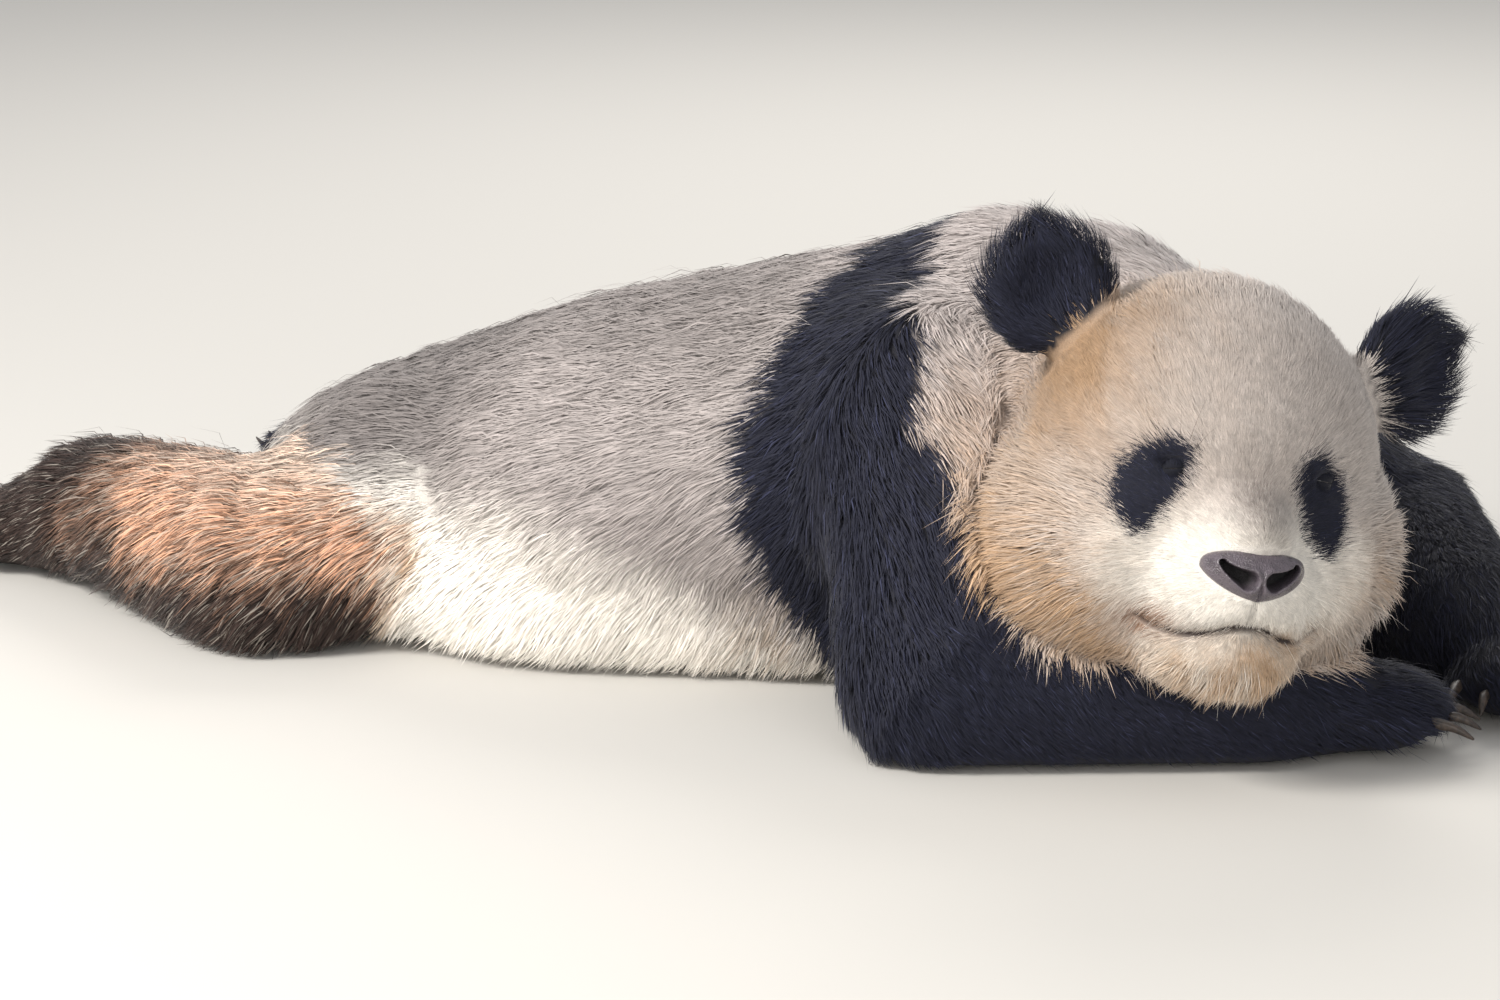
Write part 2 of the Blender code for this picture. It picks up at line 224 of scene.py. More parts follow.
def one_surface(name, meshes, cell, rounds):
    """The meshes grown together on a grid of cells, softened by so many rounds of averaging."""
    shapes = bmesh.new()
    for mesh in meshes:
        shapes.from_mesh(mesh)
    joined = bpy.data.meshes.new(name)
    shapes.to_mesh(joined)
    shapes.free()
    thing = put(name, joined)
    grow = thing.modifiers.new("one surface", "REMESH")
    grow.mode, grow.voxel_size = "VOXEL", cell
    soften = thing.modifiers.new("soften", "SMOOTH")
    soften.factor, soften.iterations = 0.5, rounds
    graph = bpy.context.evaluated_depsgraph_get()
    made = bpy.data.meshes.new_from_object(thing.evaluated_get(graph), depsgraph=graph)
    thing.modifiers.clear()
    thing.data = made
    return thing


def merged_copy(node, swelling):
    """A copy of a solid with its loose triangles merged, swollen to close the gap to its neighbour."""
    shapes = bmesh.new()
    shapes.from_mesh(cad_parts[node].data)
    bmesh.ops.remove_doubles(shapes, verts=shapes.verts, dist=WELD)
    copy = bpy.data.meshes.new(node + " copy")
    shapes.to_mesh(copy)
    shapes.free()
    move_to(copy, places_of(copy) + normals_of(copy) * swelling)
    return copy


def nearest_node(places, nodes):
    """For each place the number of the node in the list whose solid comes nearest to it."""
    corners, triangles, owners = [], [], []
    for number, node in enumerate(nodes):
        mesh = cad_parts[node].data
        mesh.calc_loop_triangles()
        base = len(corners)
        corners += [vertex.co.copy() for vertex in mesh.vertices]
        for triangle in mesh.loop_triangles:
            triangles.append([base + corner for corner in triangle.vertices])
            owners.append(number)
    tree = BVHTree.FromPolygons(corners, triangles)
    return np.array([owners[tree.find_nearest(Vector(place))[2]] for place in places])


def for_part(table, node):
    """What a table of parts says for a node such as trunk, ear_left or right_thigh."""
    return next(value for part, value in table.items() if node.startswith(part) or node.endswith(part))


def spread(values, edges, rounds):
    """Values on vertices, each round half replaced by the mean of their neighbours'."""
    count = len(values)
    ends = np.concatenate([edges[:, 0], edges[:, 1]])
    others = np.concatenate([edges[:, 1], edges[:, 0]])
    neighbours = np.maximum(np.bincount(ends, minlength=count), 1)
    flat = values.reshape(count, -1)
    for _ in range(rounds):
        sums = [np.bincount(ends, column[others], minlength=count) / neighbours for column in flat.T]
        flat = (flat + np.array(sums).T) / 2
    return flat.reshape(values.shape)


def inset_group(name, nodes, cell, rounds):
    """Solids grown into one surface, then drawn inwards by the depth of the coat over each."""
    thing = one_surface(name, [merged_copy(node, SWELLING) for node in nodes], cell, rounds)
    mesh = thing.data
    places = places_of(mesh)
    depths = np.array([for_part(COAT_DEPTHS, node) for node in nodes])[nearest_node(places, nodes)]
    depths = spread(depths, edges_of(mesh), DEPTH_ROUNDS)
    places = places - normals_of(mesh) * depths[:, None]
    if name in EARS:
        places[:, 2] -= EAR_DROP
    move_to(mesh, places)
    bpy.data.objects.remove(thing)
    return mesh


def over(nodes):
    """1 on the hide's vertices over the named nodes and 0 elsewhere."""
    return np.isin(on_node, [FLESH.index(node) for node in nodes]).astype(float)


groups = [("torso", TORSO, TORSO_CELL, TORSO_ROUNDS)]
groups += [(limb, nodes, LIMB_CELL, LIMB_ROUNDS) for limb, nodes in LIMBS.items()]
groups += [(ear, [ear], EAR_CELL, EAR_ROUNDS) for ear in EARS]
hide = one_surface("hide", [inset_group(*group) for group in groups], HIDE_CELL, HIDE_ROUNDS)
mesh = hide.data
on_node = nearest_node(places_of(mesh), FLESH)
plain = spread(over(TORSO[1:]), edges_of(mesh), BODY_EDGE_ROUNDS)[:, None]
softened = spread(places_of(mesh), edges_of(mesh), BODY_SMOOTH_ROUNDS)
move_to(mesh, places_of(mesh) * (1 - plain) + softened * plain)


# The face: the front of the hide is carried onto a smooth union of rounded masses in the head's own
# frame, with the mouth, the furrow and the eye hollows carved in it. Each mass is its middle and its
# three radii, out to the coat's tips.

FACE_MASSES = {
    "skull": ((-0.010, 0.000, 0.030), (0.150, 0.152, 0.145)),
    "brow": ((0.055, 0.000, 0.040), (0.085, 0.100, 0.085)),
    "right cheek": ((0.000, -0.083, -0.045), (0.125, 0.098, 0.110)),
    "left cheek": ((0.000, 0.083, -0.045), (0.125, 0.098, 0.110)),
    "muzzle": ((0.108, 0.000, -0.060), (0.074, 0.068, 0.053)),
    "bridge": ((0.105, 0.000, -0.012), (0.078, 0.042, 0.040)),
    "chin": ((0.098, 0.000, -0.110), (0.072, 0.064, 0.042)),
    "jaw": ((0.040, 0.000, -0.085), (0.105, 0.108, 0.068)),
}
FACE_BLEND = 0.008
FACE_BEGINS, FACE_WHOLE, FACE_REACH = -0.065, -0.015, 0.035
LIP_HALF = (
    (0.172, 0.000, -0.0850),
    (0.168, 0.013, -0.0860),
    (0.163, 0.025, -0.0930),
    (0.148, 0.044, -0.0990),
    (0.130, 0.061, -0.0985),
    (0.118, 0.075, -0.0900),
)
SQUASH = np.array([0.35, 1.0, 1.0])
UPPER_LIP_ABOVE = np.array([0.0, 0.0, 0.015])
FURROW = np.array([(0.186, 0, -0.058), (0.180, 0, -0.084)])
#            depth, width
LIP_GROOVE = 0.0075, 0.0036
LIP_SWELL = 0.0032, 0.011
FURROW_GROOVE = 0.0035, 0.0028
EYE_HOLLOW = 0.0115, 0.0095
BROW_SWELL = 0.0034, 0.013
NOSE_SEAT, NOSE_SEAT_WIDE, NOSE_SEAT_TALL, NOSE_SEAT_UP = 0.020, 0.036, 0.0165, -0.042
#        how far ahead, how far from the line through the nose: faces there are cut in four
FINER_FACE = ((0.045, 0.125), (0.075, 0.100))
FINER_EYE, FINER_FRONT = 0.026, 0.26
JOIN_ROUNDS, SMOOTH_ROUNDS, JOIN_LOWEST, JOIN_RISE = 14, 70, 0.085, 0.06
eye_middles = {side: in_head(place) for side, place in eye_places.items()}
nose_middle = in_head(middle("nose"))


def rise(values, low, high):
    """From 0 at low to 1 at high, level at both ends: 3t^2 - 2t^3."""
    t = np.clip((values - low) / (high - low), 0, 1)
    return t * t * (3 - 2 * t)


def hill(distances, width):
    """A rounded hill of height 1: e to the minus square of distance over width."""
    return np.exp(-np.square(distances / width))


def far(places, spot, scale=1.0):
    """Distance of each place from a spot, each direction counted by the scale."""
    return np.linalg.norm((places - np.asarray(spot)) * scale, axis=-1)


def from_path(places, path):
    """Distance to a run of straight lengths, and how far along it (0 to 1) the nearest point is."""
    lengths = np.linalg.norm(np.diff(path, axis=0), axis=1)
    starts = np.concatenate([[0], np.cumsum(lengths)]) / lengths.sum()
    best = np.full(len(places), np.inf)
    along = np.zeros(len(places))
    for number, (start, end) in enumerate(zip(path[:-1], path[1:])):
        t = np.clip((places - start) @ (end - start) / lengths[number] ** 2, 0, 1)
        distance = np.linalg.norm(places - start - t[:, None] * (end - start), axis=1)
        nearer = distance < best
        best = np.where(nearer, distance, best)
        along = np.where(nearer, starts[number] + t * lengths[number] / lengths.sum(), along)
    return best, along


def rounded_path(path, rounds=3):
    """The path with its corners cut off, a quarter of each length at a time."""
    for _ in range(rounds):
        cut = np.stack([0.75 * path[:-1] + 0.25 * path[1:], 0.25 * path[:-1] + 0.75 * path[1:]], axis=1)
        path = np.concatenate([path[:1], cut.reshape(-1, path.shape[1]), path[-1:]])
    return path


LIP_LINE = rounded_path(np.array([(x, -y, z) for x, y, z in LIP_HALF[:0:-1]] + list(LIP_HALF)))


def from_groove(at, path):
    """Distance to a path over the muzzle, depth counting little, and how far along it."""
    return from_path(at * SQUASH, path * SQUASH)


def head_level(places):
    """Height over the head's form: the smooth least of the heights over its rounded masses."""
    heights = []
    for centre, radii in FACE_MASSES.values():
        offsets = places - np.array(centre)
        near = np.linalg.norm(offsets / radii, axis=1)
        steep = np.maximum(np.linalg.norm(offsets / np.square(radii), axis=1), 1e-9)
        heights.append(near * (near - 1) / steep)
    return -FACE_BLEND * np.log(np.exp(-np.array(heights) / FACE_BLEND).sum(axis=0))


def face_depth(places):
    """Depth of the hide below the tips of the coat: thin on the muzzle, thick on the cheeks."""
    muzzle = rise(places[:, 0], 0.085, 0.130) * rise(-places[:, 2], -0.03, 0.02)
    front = rise(places[:, 0], 0.02, 0.10)
    cheek = rise(np.abs(places[:, 1]), 0.06, 0.13) * rise(-places[:, 2], -0.06, 0.02)
    depth = 0.009 - 0.0035 * front + 0.010 * cheek
    return depth * (1 - muzzle) + 0.0030 * muzzle


def face_features(places):
    """Carvings (positive) and swellings (negative) of the hide, in metres."""
    lips, along = from_groove(places, LIP_LINE)
    ends = np.minimum(along, 1 - along)
    depth, width = LIP_GROOVE
    carved = depth * hill(lips, width) * (0.35 + 0.65 * rise(ends, 0.0, 0.12))
    depth, width = LIP_SWELL
    over_lip = from_groove(places, LIP_LINE + UPPER_LIP_ABOVE)[0]
    carved -= depth * hill(over_lip, width) * rise(ends, 0.05, 0.3)
    depth, width = FURROW_GROOVE
    carved += depth * hill(from_groove(places, FURROW)[0], width)
    carved = np.where(places[:, 0] > 0.09, carved, 0)
    under_nose = np.hypot(places[:, 1] / NOSE_SEAT_WIDE, (places[:, 2] - NOSE_SEAT_UP) / NOSE_SEAT_TALL)
    carved += NOSE_SEAT * (1 - rise(under_nose, 0.65, 1.0)) * (places[:, 0] > 0.12)
    for side, eye in eye_middles.items():
        depth, width = EYE_HOLLOW
        carved += depth * hill(far(places, eye, (0.55, 1, 1.15)), width)
        depth, width = BROW_SWELL
        carved -= depth * hill(far(places, eye + (0.004, side * -0.002, 0.021), (0.5, 0.62, 1.2)), width)
    return carved


def onto_face(places):
    """Places slid along the slope of the level until they lie on the hide of the head."""
    step = 0.0004
    for _ in range(5):
        level = head_level(places) + face_depth(places) + face_features(places)
        slope = np.empty_like(places)
        for axis in range(3):
            shift = np.zeros(3)
            shift[axis] = step
            slope[:, axis] = (head_level(places + shift) - head_level(places - shift)) / (2 * step)
        places = places - slope * (level / np.maximum((slope**2).sum(axis=1), 0.2))[:, None]
    return places


def divided(mesh, choose):
    """Cut in four each face of the mesh whose middle, in the head's frame, is chosen."""
    chosen = choose(in_head(values_of(mesh.polygons, "center", 3)))
    shapes = bmesh.new()
    shapes.from_mesh(mesh)
    shapes.faces.ensure_lookup_table()
    edges = list({edge for number in np.flatnonzero(chosen) for edge in shapes.faces[number].edges})
    bmesh.ops.subdivide_edges(shapes, edges=edges, cuts=1, use_grid_fill=True)
    shapes.to_mesh(mesh)
    shapes.free()
    mesh.update()


for front, reach in FINER_FACE:
    divided(
        mesh,
        lambda at: (at[:, 0] > front)
        & (at[:, 0] < FINER_FRONT)
        & (far(at, (0.10, 0, -0.03), (0, 1, 1)) < reach),
    )
for eye in eye_middles.values():
    divided(mesh, lambda at: far(at, eye) < FINER_EYE)
on_node = nearest_node(places_of(mesh), FLESH)
edges = edges_of(mesh)

# The upper limbs, and the folds where they meet the body, are drawn smooth above the elbow's height.
upper = spread(over(UPPER_LIMBS), edges, JOIN_ROUNDS)
body = spread(over(TORSO[1:]), edges, JOIN_ROUNDS)
body *= 1 - np.clip(2 * spread(over(["head"]), edges, JOIN_ROUNDS), 0, 1)
places = places_of(mesh)
join = np.clip(7 * upper * body, 0, 1) * rise(places[:, 2], JOIN_LOWEST, JOIN_LOWEST + JOIN_RISE)
move_to(mesh, places + (spread(places, edges, SMOOTH_ROUNDS) - places) * join[:, None])

at = in_head(places_of(mesh))
share = rise(at[:, 0], FACE_BEGINS, FACE_WHOLE) * rise(spread(over(["head"]), edges, 3), 0.35, 0.75)
share *= np.abs(head_level(at)) < FACE_REACH
share = spread(share, edges, 2)
standing = from_head(at + (onto_face(at) - at) * share[:, None])
standing[:, 2] = np.maximum(standing[:, 2], LEAST_HEIGHT)
move_to(mesh, standing)
mesh.shade_smooth()
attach(hide, "root")
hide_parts(*FLESH)


# Where each colour of the coat lies: a black band over the shoulders, black legs, ears and slanting
# eye patches, a right thigh bleached brown by the sun, warm stains on the cheeks and the neck, painted
# shade on the back, the temple, the crown and the fold behind the ear, and painted light on the lower
# flank.

CREAM = np.array((0.760, 0.685, 0.590))
# the back's grey: partly the coat's dirtier grey, partly painted shade
GREY_CREAM_AND_SHADE = np.array((0.400, 0.360, 0.345))
FACE_CREAM = np.array((0.575, 0.520, 0.480))
BRIGHT_CREAM = np.array((0.930, 0.885, 0.810))
TAN = np.array((0.520, 0.325, 0.175))
BLACK = np.array((0.0122, 0.0138, 0.0285))
BROWN = np.array((0.780, 0.430, 0.270))
# the thigh's top: pale hair tips and painted highlight
FROSTED_AND_LIT_BROWN = np.array((0.95, 0.76, 0.62))
DARK_BROWN = np.array((0.045, 0.028, 0.023))
BRIDGE_GREY = np.array((0.230, 0.195, 0.175))
MOUTH_BROWN = np.array((0.230, 0.105, 0.045))
LIP = np.array((0.030, 0.018, 0.016))
BLACK_NODES = ["shoulders", *EARS] + [node for limb in LIMBS.values() for node in limb]
BLACK_ALL_OVER = EARS + [f"{side}_{part}" for side in SIDES for part in ("forearm", "paw")]
ALL_OVER, ALL_OVER_ABOVE = 9.0, 5
#        side: across and up from the middle of the head
PATCHES = {-1: (-0.0765, 0.0135), 1: (0.0605, 0.0085)}
PATCH_LEAN, PATCH_LONG, PATCH_WIDE = math.radians(28), 0.0425, 0.0243
FAR_FROM_PATCH = 9.0
BAND_BACK, BAND_BULGE_HEIGHT, BAND_BEND = 0.104, 0.215, 2.1
BAND_FRONT_HEIGHTS = (0.000, 0.200, 0.220, 0.267, 0.330, 0.400)
BAND_FRONT = (0.495, 0.339, 0.322, 0.272, 0.2535, 0.220)
BAND_EDGE, SHOULDER_TOP, LEFT_ARM_BLACK = 0.011, 0.205, 0.150
SHOULDER_EDGE, LEFT_ARM_EDGE, THIGH_EDGE, THIGH_TOP_EDGE, THIGH_END_AND_SHADOW_EDGE = 0.008, 0.010, 0.030, 0.012, 0.02
# height where the coat turns from grey to bright, falling towards the front: partly cleaner lower flank,
# partly painted light on it
PALE_AND_LIT_LEVEL, PALE_AND_LIT_SLOPE = 0.130, 0.35
HIDE_SHADE, HIDE_BLACKER = 0.92, 0.40
# towards the foot the leg turns black at the thigh's end: partly its own black, partly painted shadow
THIGH_FRONT, THIGH_CURVE, THIGH_LEVEL, THIGH_TOP, THIGH_END_AND_SHADOW = -0.214, 9.5, 0.070, 0.178, -0.46
#        middle and width of each spot: the fold behind the ear (painted shade), the temple (rust and
#        painted shade), the cheek spots and the mouth's corner (across, up) in the head's frame, the
#        others in the world
FOLD_SHADE = (-0.102, -0.157, 0.037), 0.020
TEMPLE = (0.010, -0.122, 0.082), 0.100
CHEEK_SPOTS = (
    (0.020, -0.122, 0.095),
    (0.015, -0.156, -0.075),
    (0.071, -0.127, -0.095),
    (0.071, -0.089, -0.125),
)
CHEEK_SPOT_WIDTH = 0.030
MOUTH_CORNER, MOUTH_CORNER_WIDTH = (-0.0680, -0.0900), 0.0140
NECK_STAIN = (0.335, -0.235, 0.20), 0.10
# a darker tan where the arm meets the chest
ARMPIT = (0.128, -0.20, 0.045), 0.050
# a spot of painted shade on the top of the head
CROWN_SHADE = (0.478, -0.240, 0.372), 0.055


def ripple(places, size, seed):
    """Smooth noise from -1 to 1: a sum of seven seeded sine waves of about the given size."""
    draw = np.random.default_rng(seed)
    headings = unit(draw.normal(size=(7, 3))) * (2 * np.pi / size) * draw.uniform(0.6, 1.6, (7, 1))
    starts = draw.uniform(0, 2 * np.pi, 7)
    return np.sin(places @ headings.T + starts).sum(axis=1) / 3.2


def toward(values, others, share):
    """Rows of values drawn towards others by a share from 0 to 1."""
    return values + (others - values) * share[..., None]


def about(places, spot):
    """A rounded hill about a spot, which is its middle and its width."""
    return hill(far(places, spot[0]), spot[1])


def in_patch(at):
    """0 at the middle of an eye patch and 1 on its edge: a leaning, slightly bent oval."""
    least = np.full(len(at), FAR_FROM_PATCH)
    for side, (across, up) in PATCHES.items():
        y, z = (at[:, 1] - across) * side, at[:, 2] - up
        long_way = y * math.sin(PATCH_LEAN) - z * math.cos(PATCH_LEAN)
        wide_way = y * math.cos(PATCH_LEAN) + z * math.sin(PATCH_LEAN) - 0.002
        wide_way += np.where(long_way > 0, 5.0, 0.5) * long_way**2
        least = np.minimum(least, np.hypot(long_way / PATCH_LONG, wide_way / PATCH_WIDE))
    return np.where(at[:, 0] > 0.05, least, FAR_FROM_PATCH)


def blackness(places, black_near, torso_near):
    """1 where the coat is black and 0 where it is white, with a ragged edge between."""
    x, y, height = places.T
    ragged = ripple(places, 0.018, 5) * 0.5 + ripple(places, 0.05, 6) * 0.5
    back = BAND_BACK + BAND_BEND * np.square(height - BAND_BULGE_HEIGHT)
    front = np.interp(height, BAND_FRONT_HEIGHTS, BAND_FRONT)
    band = np.minimum(x - back, front - x) / BAND_EDGE + ragged
    shoulder = np.maximum((front - x) / BAND_EDGE + ragged, (SHOULDER_TOP - height) / SHOULDER_EDGE)
    shoulder = np.maximum(shoulder, (y - LEFT_ARM_BLACK) / LEFT_ARM_EDGE + ragged)
    thigh_front = THIGH_FRONT - THIGH_CURVE * np.square(np.maximum(height - THIGH_LEVEL, 0))
    thigh = np.minimum((thigh_front - x) / THIGH_EDGE, (THIGH_TOP - height) / THIGH_TOP_EDGE)
    # black past the thigh's end: partly the leg's own black, partly painted shadow
    thigh = np.maximum(thigh + 0.9 * ragged, (THIGH_END_AND_SHADOW - x) / THIGH_END_AND_SHADOW_EDGE)
    legs = np.minimum((black_near - 0.5) * 5 + ragged, np.where(x > 0, shoulder, thigh))
    black = np.where(torso_near > 0.5, band, np.where(black_near > ALL_OVER_ABOVE, 1, legs))
    black = np.maximum(black, (1 - in_patch(in_head(places))) * 7 + ragged * 0.8)
    return rise(black, -0.35, 0.35)


def coat_colour(places, black, thigh_near):
    """The colour of the coat's middle length at each place."""
    x, y, height = places.T
    at = in_head(places)
    ahead, aside, above = at.T
    broad, fine = ripple(places, 0.16, 11), ripple(places, 0.035, 12)

    # The back and the haunch are grey, partly the coat's own dirtier grey and partly painted shade,
    # darkest at the haunch and along the top of the back; the lower flank is bright, partly cleaner coat
    # and partly painted light; the face and the muzzle between.
    painted_back_shade = 0.42 * rise(-x, 0.11, 0.25) + 0.22 * rise(height, 0.24, 0.31) * rise(0.14 - x, 0.0, 0.06)
    grey = GREY_CREAM_AND_SHADE * (1 - painted_back_shade + 0.28 * rise(x, 0.10, 0.22))[:, None]
    level = PALE_AND_LIT_LEVEL - PALE_AND_LIT_SLOPE * np.maximum(x + 0.10, 0) + 0.010 * broad + 0.010 * fine
    white = toward(grey, BRIGHT_CREAM, rise(level - height, -0.055, 0.030))
    on_face = rise(ahead, -0.07, 0.0) * (np.linalg.norm(at, axis=1) < 0.24)
    muzzle = rise(ahead, 0.09, 0.135) * rise(-above, -0.02, 0.03)
    white = toward(white, toward(FACE_CREAM, BRIGHT_CREAM * 0.92, muzzle), on_face)

    # The stains: rust on cheeks, temple, jaw and neck and dark in the mouth; a darker tan in the armpit;
    # painted shade over the temple and the crown and in the fold behind the ear.
    cheek = on_face * rise(np.abs(aside), 0.05, 0.11) * rise(-above, -0.02, 0.06) * (1 - muzzle)
    # the cheek's rust kept paler low down: painted light on the jaw
    cheek = cheek * (1 - 0.55 * rise(0.170 - height, 0.0, 0.04))
    temple = about(at, TEMPLE)
    jaw = on_face * hill(above + 0.120, 0.030)
    neck = about(places, NECK_STAIN) * (1 - on_face)
    spotted = hill(far(at[:, None], CHEEK_SPOTS).min(axis=1), CHEEK_SPOT_WIDTH)
    under_chin = on_face * rise(0.158 - height, 0.0, 0.035) * (ahead > 0.03) * hill(aside, 0.065)
    rust = 0.50 * cheek + 0.55 * temple + 0.12 * jaw + 0.30 * spotted + 0.35 * neck + 0.60 * under_chin
    by_thigh = rise(thigh_near, 0.0, 0.35) * rise(0.150 - height, 0.0, 0.04)
    bridge = hill(np.hypot(aside / 0.022, (above - 0.010) / 0.034), 1.0) * (ahead > 0.05)
    corner = 0.90 * hill(far(at[:, 1:], MOUTH_CORNER, (0.75, 1.1)), MOUTH_CORNER_WIDTH) * (ahead > 0.05)
    for stain, share in (
        (DARK_BROWN * 2, 0.70 * hill(from_groove(at, LIP_LINE)[0], 0.0062) * (ahead > 0.09)),
        (TAN, np.clip(rust * (1 + 0.45 * fine + 0.3 * broad), 0, 0.85)),
        # painted shade over the temple and the crown
        (TAN * 0.55, np.maximum(0.70 * temple, 0.55 * about(places, CROWN_SHADE))),
        # a darker tan in the armpit
        (TAN * 0.45, 0.80 * about(places, ARMPIT) * rise(fine, -0.9, 0.6)),
        (TAN * 0.9, 0.55 * by_thigh * (1 + 0.5 * fine)),
        # painted shade in the fold behind the ear
        (DARK_BROWN * 3, 0.55 * about(at, FOLD_SHADE) * rise(fine, -0.2, 0.6)),
        (BRIDGE_GREY, bridge * (0.60 + 0.35 * ripple(places, 0.008, 14))),
        (MOUTH_BROWN, corner),
    ):
        white = toward(white, stain, share)

    # The black hair, and the right thigh's, bleached brown and frosted pale on top, the top partly pale
    # hair tips and partly painted highlight; towards the foot the leg turns black, partly its own colour
    # and partly painted shadow.
    bleached = rise(thigh_near, 0.3, 0.8) * rise(height + 0.020 * broad + 0.012 * fine, 0.050, 0.115)
    # the brown fades out towards the foot into black, partly painted shadow
    bleached *= rise(-y + 0.03 * broad + 0.02 * fine, 0.115, 0.215) * rise(x + 0.03 * broad, -0.60, -0.47)
    frost_and_highlight = rise(height + 0.010 * fine, 0.118, 0.165)[:, None]
    brown = BROWN * (1 + 0.25 * fine[:, None]) + (FROSTED_AND_LIT_BROWN - BROWN) * 0.85 * frost_and_highlight
    dark = toward(toward(BLACK, DARK_BROWN, rise(thigh_near, 0.2, 0.7)), brown, bleached)
    return toward(white, dark, black)


def shown_in(mesh, name, colours):
    """Colours kept on the mesh's vertices, in linear light."""
    layer = mesh.color_attributes.new(name, "FLOAT_COLOR", "POINT")
    values = np.ones((len(mesh.vertices), 4), dtype=np.float32)
    values[:, :3] = colours
    layer.data.foreach_set("color", values.ravel())


places, normals = places_of(mesh), normals_of(mesh)
on_node = nearest_node(places, FLESH)
at = in_head(places)
black_near = spread(over(BLACK_NODES), edges, 6)
black_near[over(BLACK_ALL_OVER) > 0] = ALL_OVER
thigh_near = spread(over(LIMBS["right_leg"]), edges, 10)
torso_near = over(BODY)

skin_black = blackness(places, black_near, torso_near)
skin_colour = coat_colour(places, skin_black, thigh_near)
skin_colour *= (HIDE_SHADE - HIDE_BLACKER * skin_black)[:, None]
lips = np.where(at[:, 0] > 0.09, from_groove(at, LIP_LINE)[0], 1.0)
furrow = np.where(at[:, 0] > 0.14, from_groove(at, FURROW)[0], 1.0)
bare_lips = np.clip(hill(lips, 0.0038) * 1.5 + hill(furrow, 0.0026), 0, 1)
shown_in(mesh, "marking", toward(skin_colour, LIP, bare_lips))


class Link:
    """A shader socket that sums can be written with: each sum adds its Math node."""

    def __init__(self, finish, socket):
        self.finish, self.socket = finish, socket

    def _with(self, operation, other):
        return self.finish.node("ShaderNodeMath", {"operation": operation}, {0: self, 1: other})

    def __add__(self, other):
        return self._with("ADD", other)

    def __mul__(self, other):
        return self._with("MULTIPLY", other)

    def __rsub__(self, other):
        return self * -1.0 + other

    __radd__, __rmul__ = __add__, __mul__

    def between(self, low, high):
        """0 below low, 1 above high."""
        return self.finish.node("ShaderNodeMapRange", {}, {0: self, 1: low, 2: high})


class Finish:
    """A new material: node() adds a node with its settings and inputs, set() fills the shader."""

    def __init__(self, name):
        self.material = bpy.data.materials.new(name)
        self.material.use_nodes = True
        self.tree = self.material.node_tree
        self.shader = self.tree.nodes["Principled BSDF"]

    def fill(self, node, inputs):
        for slot, value in inputs.items():
            if isinstance(value, Link):
                self.tree.links.new(value.socket, node.inputs[slot])
            else:
                node.inputs[slot].default_value = value

    def node(self, kind, settings, inputs, output=0):
        made = self.tree.nodes.new(kind)
        for setting, value in settings.items():
            setattr(made, setting, value)
        self.fill(made, inputs)
        return Link(self, made.outputs[output])

    def attribute(self, name, output="Color"):
        return self.node("ShaderNodeAttribute", {"attribute_name": name}, {}, output)

    def place(self):
        return self.node("ShaderNodeTexCoord", {}, {}, "Object")

    def noise(self, scale, detail=3.0):
        inputs = {"Vector": self.place(), "Scale": scale, "Detail": detail}
        return self.node("ShaderNodeTexNoise", {}, inputs)

    def tinted(self, colour, other, amount, blend="MIX"):
        """Two colours mixed: factor 0, colour A 6 and B 7 of the Mix node, result 2."""
        settings = {"data_type": "RGBA", "blend_type": blend}
        return self.node("ShaderNodeMix", settings, {0: amount, 6: colour, 7: other}, 2)

    def bump(self, height, strength, distance):
        inputs = {"Height": height, "Strength": strength, "Distance": distance}
        return self.node("ShaderNodeBump", {}, inputs)

    def set(self, **values):
        self.fill(self.shader, {name.replace("_", " "): value for name, value in values.items()})
        return self.material


skin = Finish("hide under the coat")
speckle = skin.noise(900.0)
speckle_share = 0.22 * speckle.between(0.35, 0.7)
skin_material = skin.set(
    Base_Color=skin.tinted(skin.attribute("marking"), (0.02, 0.016, 0.014, 1), speckle_share),
    Roughness=0.75,
    Normal=skin.bump(speckle, 0.6, 0.0015),
)
mesh.materials.clear()
mesh.materials.append(skin_material)


# The lie of the coat: every hair runs away from the nose over the head, back and down over the neck
# and trunk, and down each leg to its paw. Directions are kept on the hide's vertices and evened out.

NOSE_TIP = np.array([0.185, 0.0, -0.035])
EVENING_ROUNDS, EVENING_SPREAD = 8, 3
ear_roots = from_head([(-0.02, side * 0.110, 0.085) for side in (-1, 1)])


def laid(ways, out):
    """Ways laid flat on the skin, square to the way out of it."""
    return unit(ways - out * (ways * out).sum(axis=1, keepdims=True))


def along_limb(spots, nodes):
    """The way from the body to the paw at each place: along the line through the parts' middles."""
    stops = np.array([middle(node) for node in nodes])
    ways = unit(np.diff(stops, axis=0))
    bend = rise(from_path(spots, stops)[1], 0.35, 0.65)[:, None]
    return unit(ways[0] * (1 - bend) + ways[1] * bend)


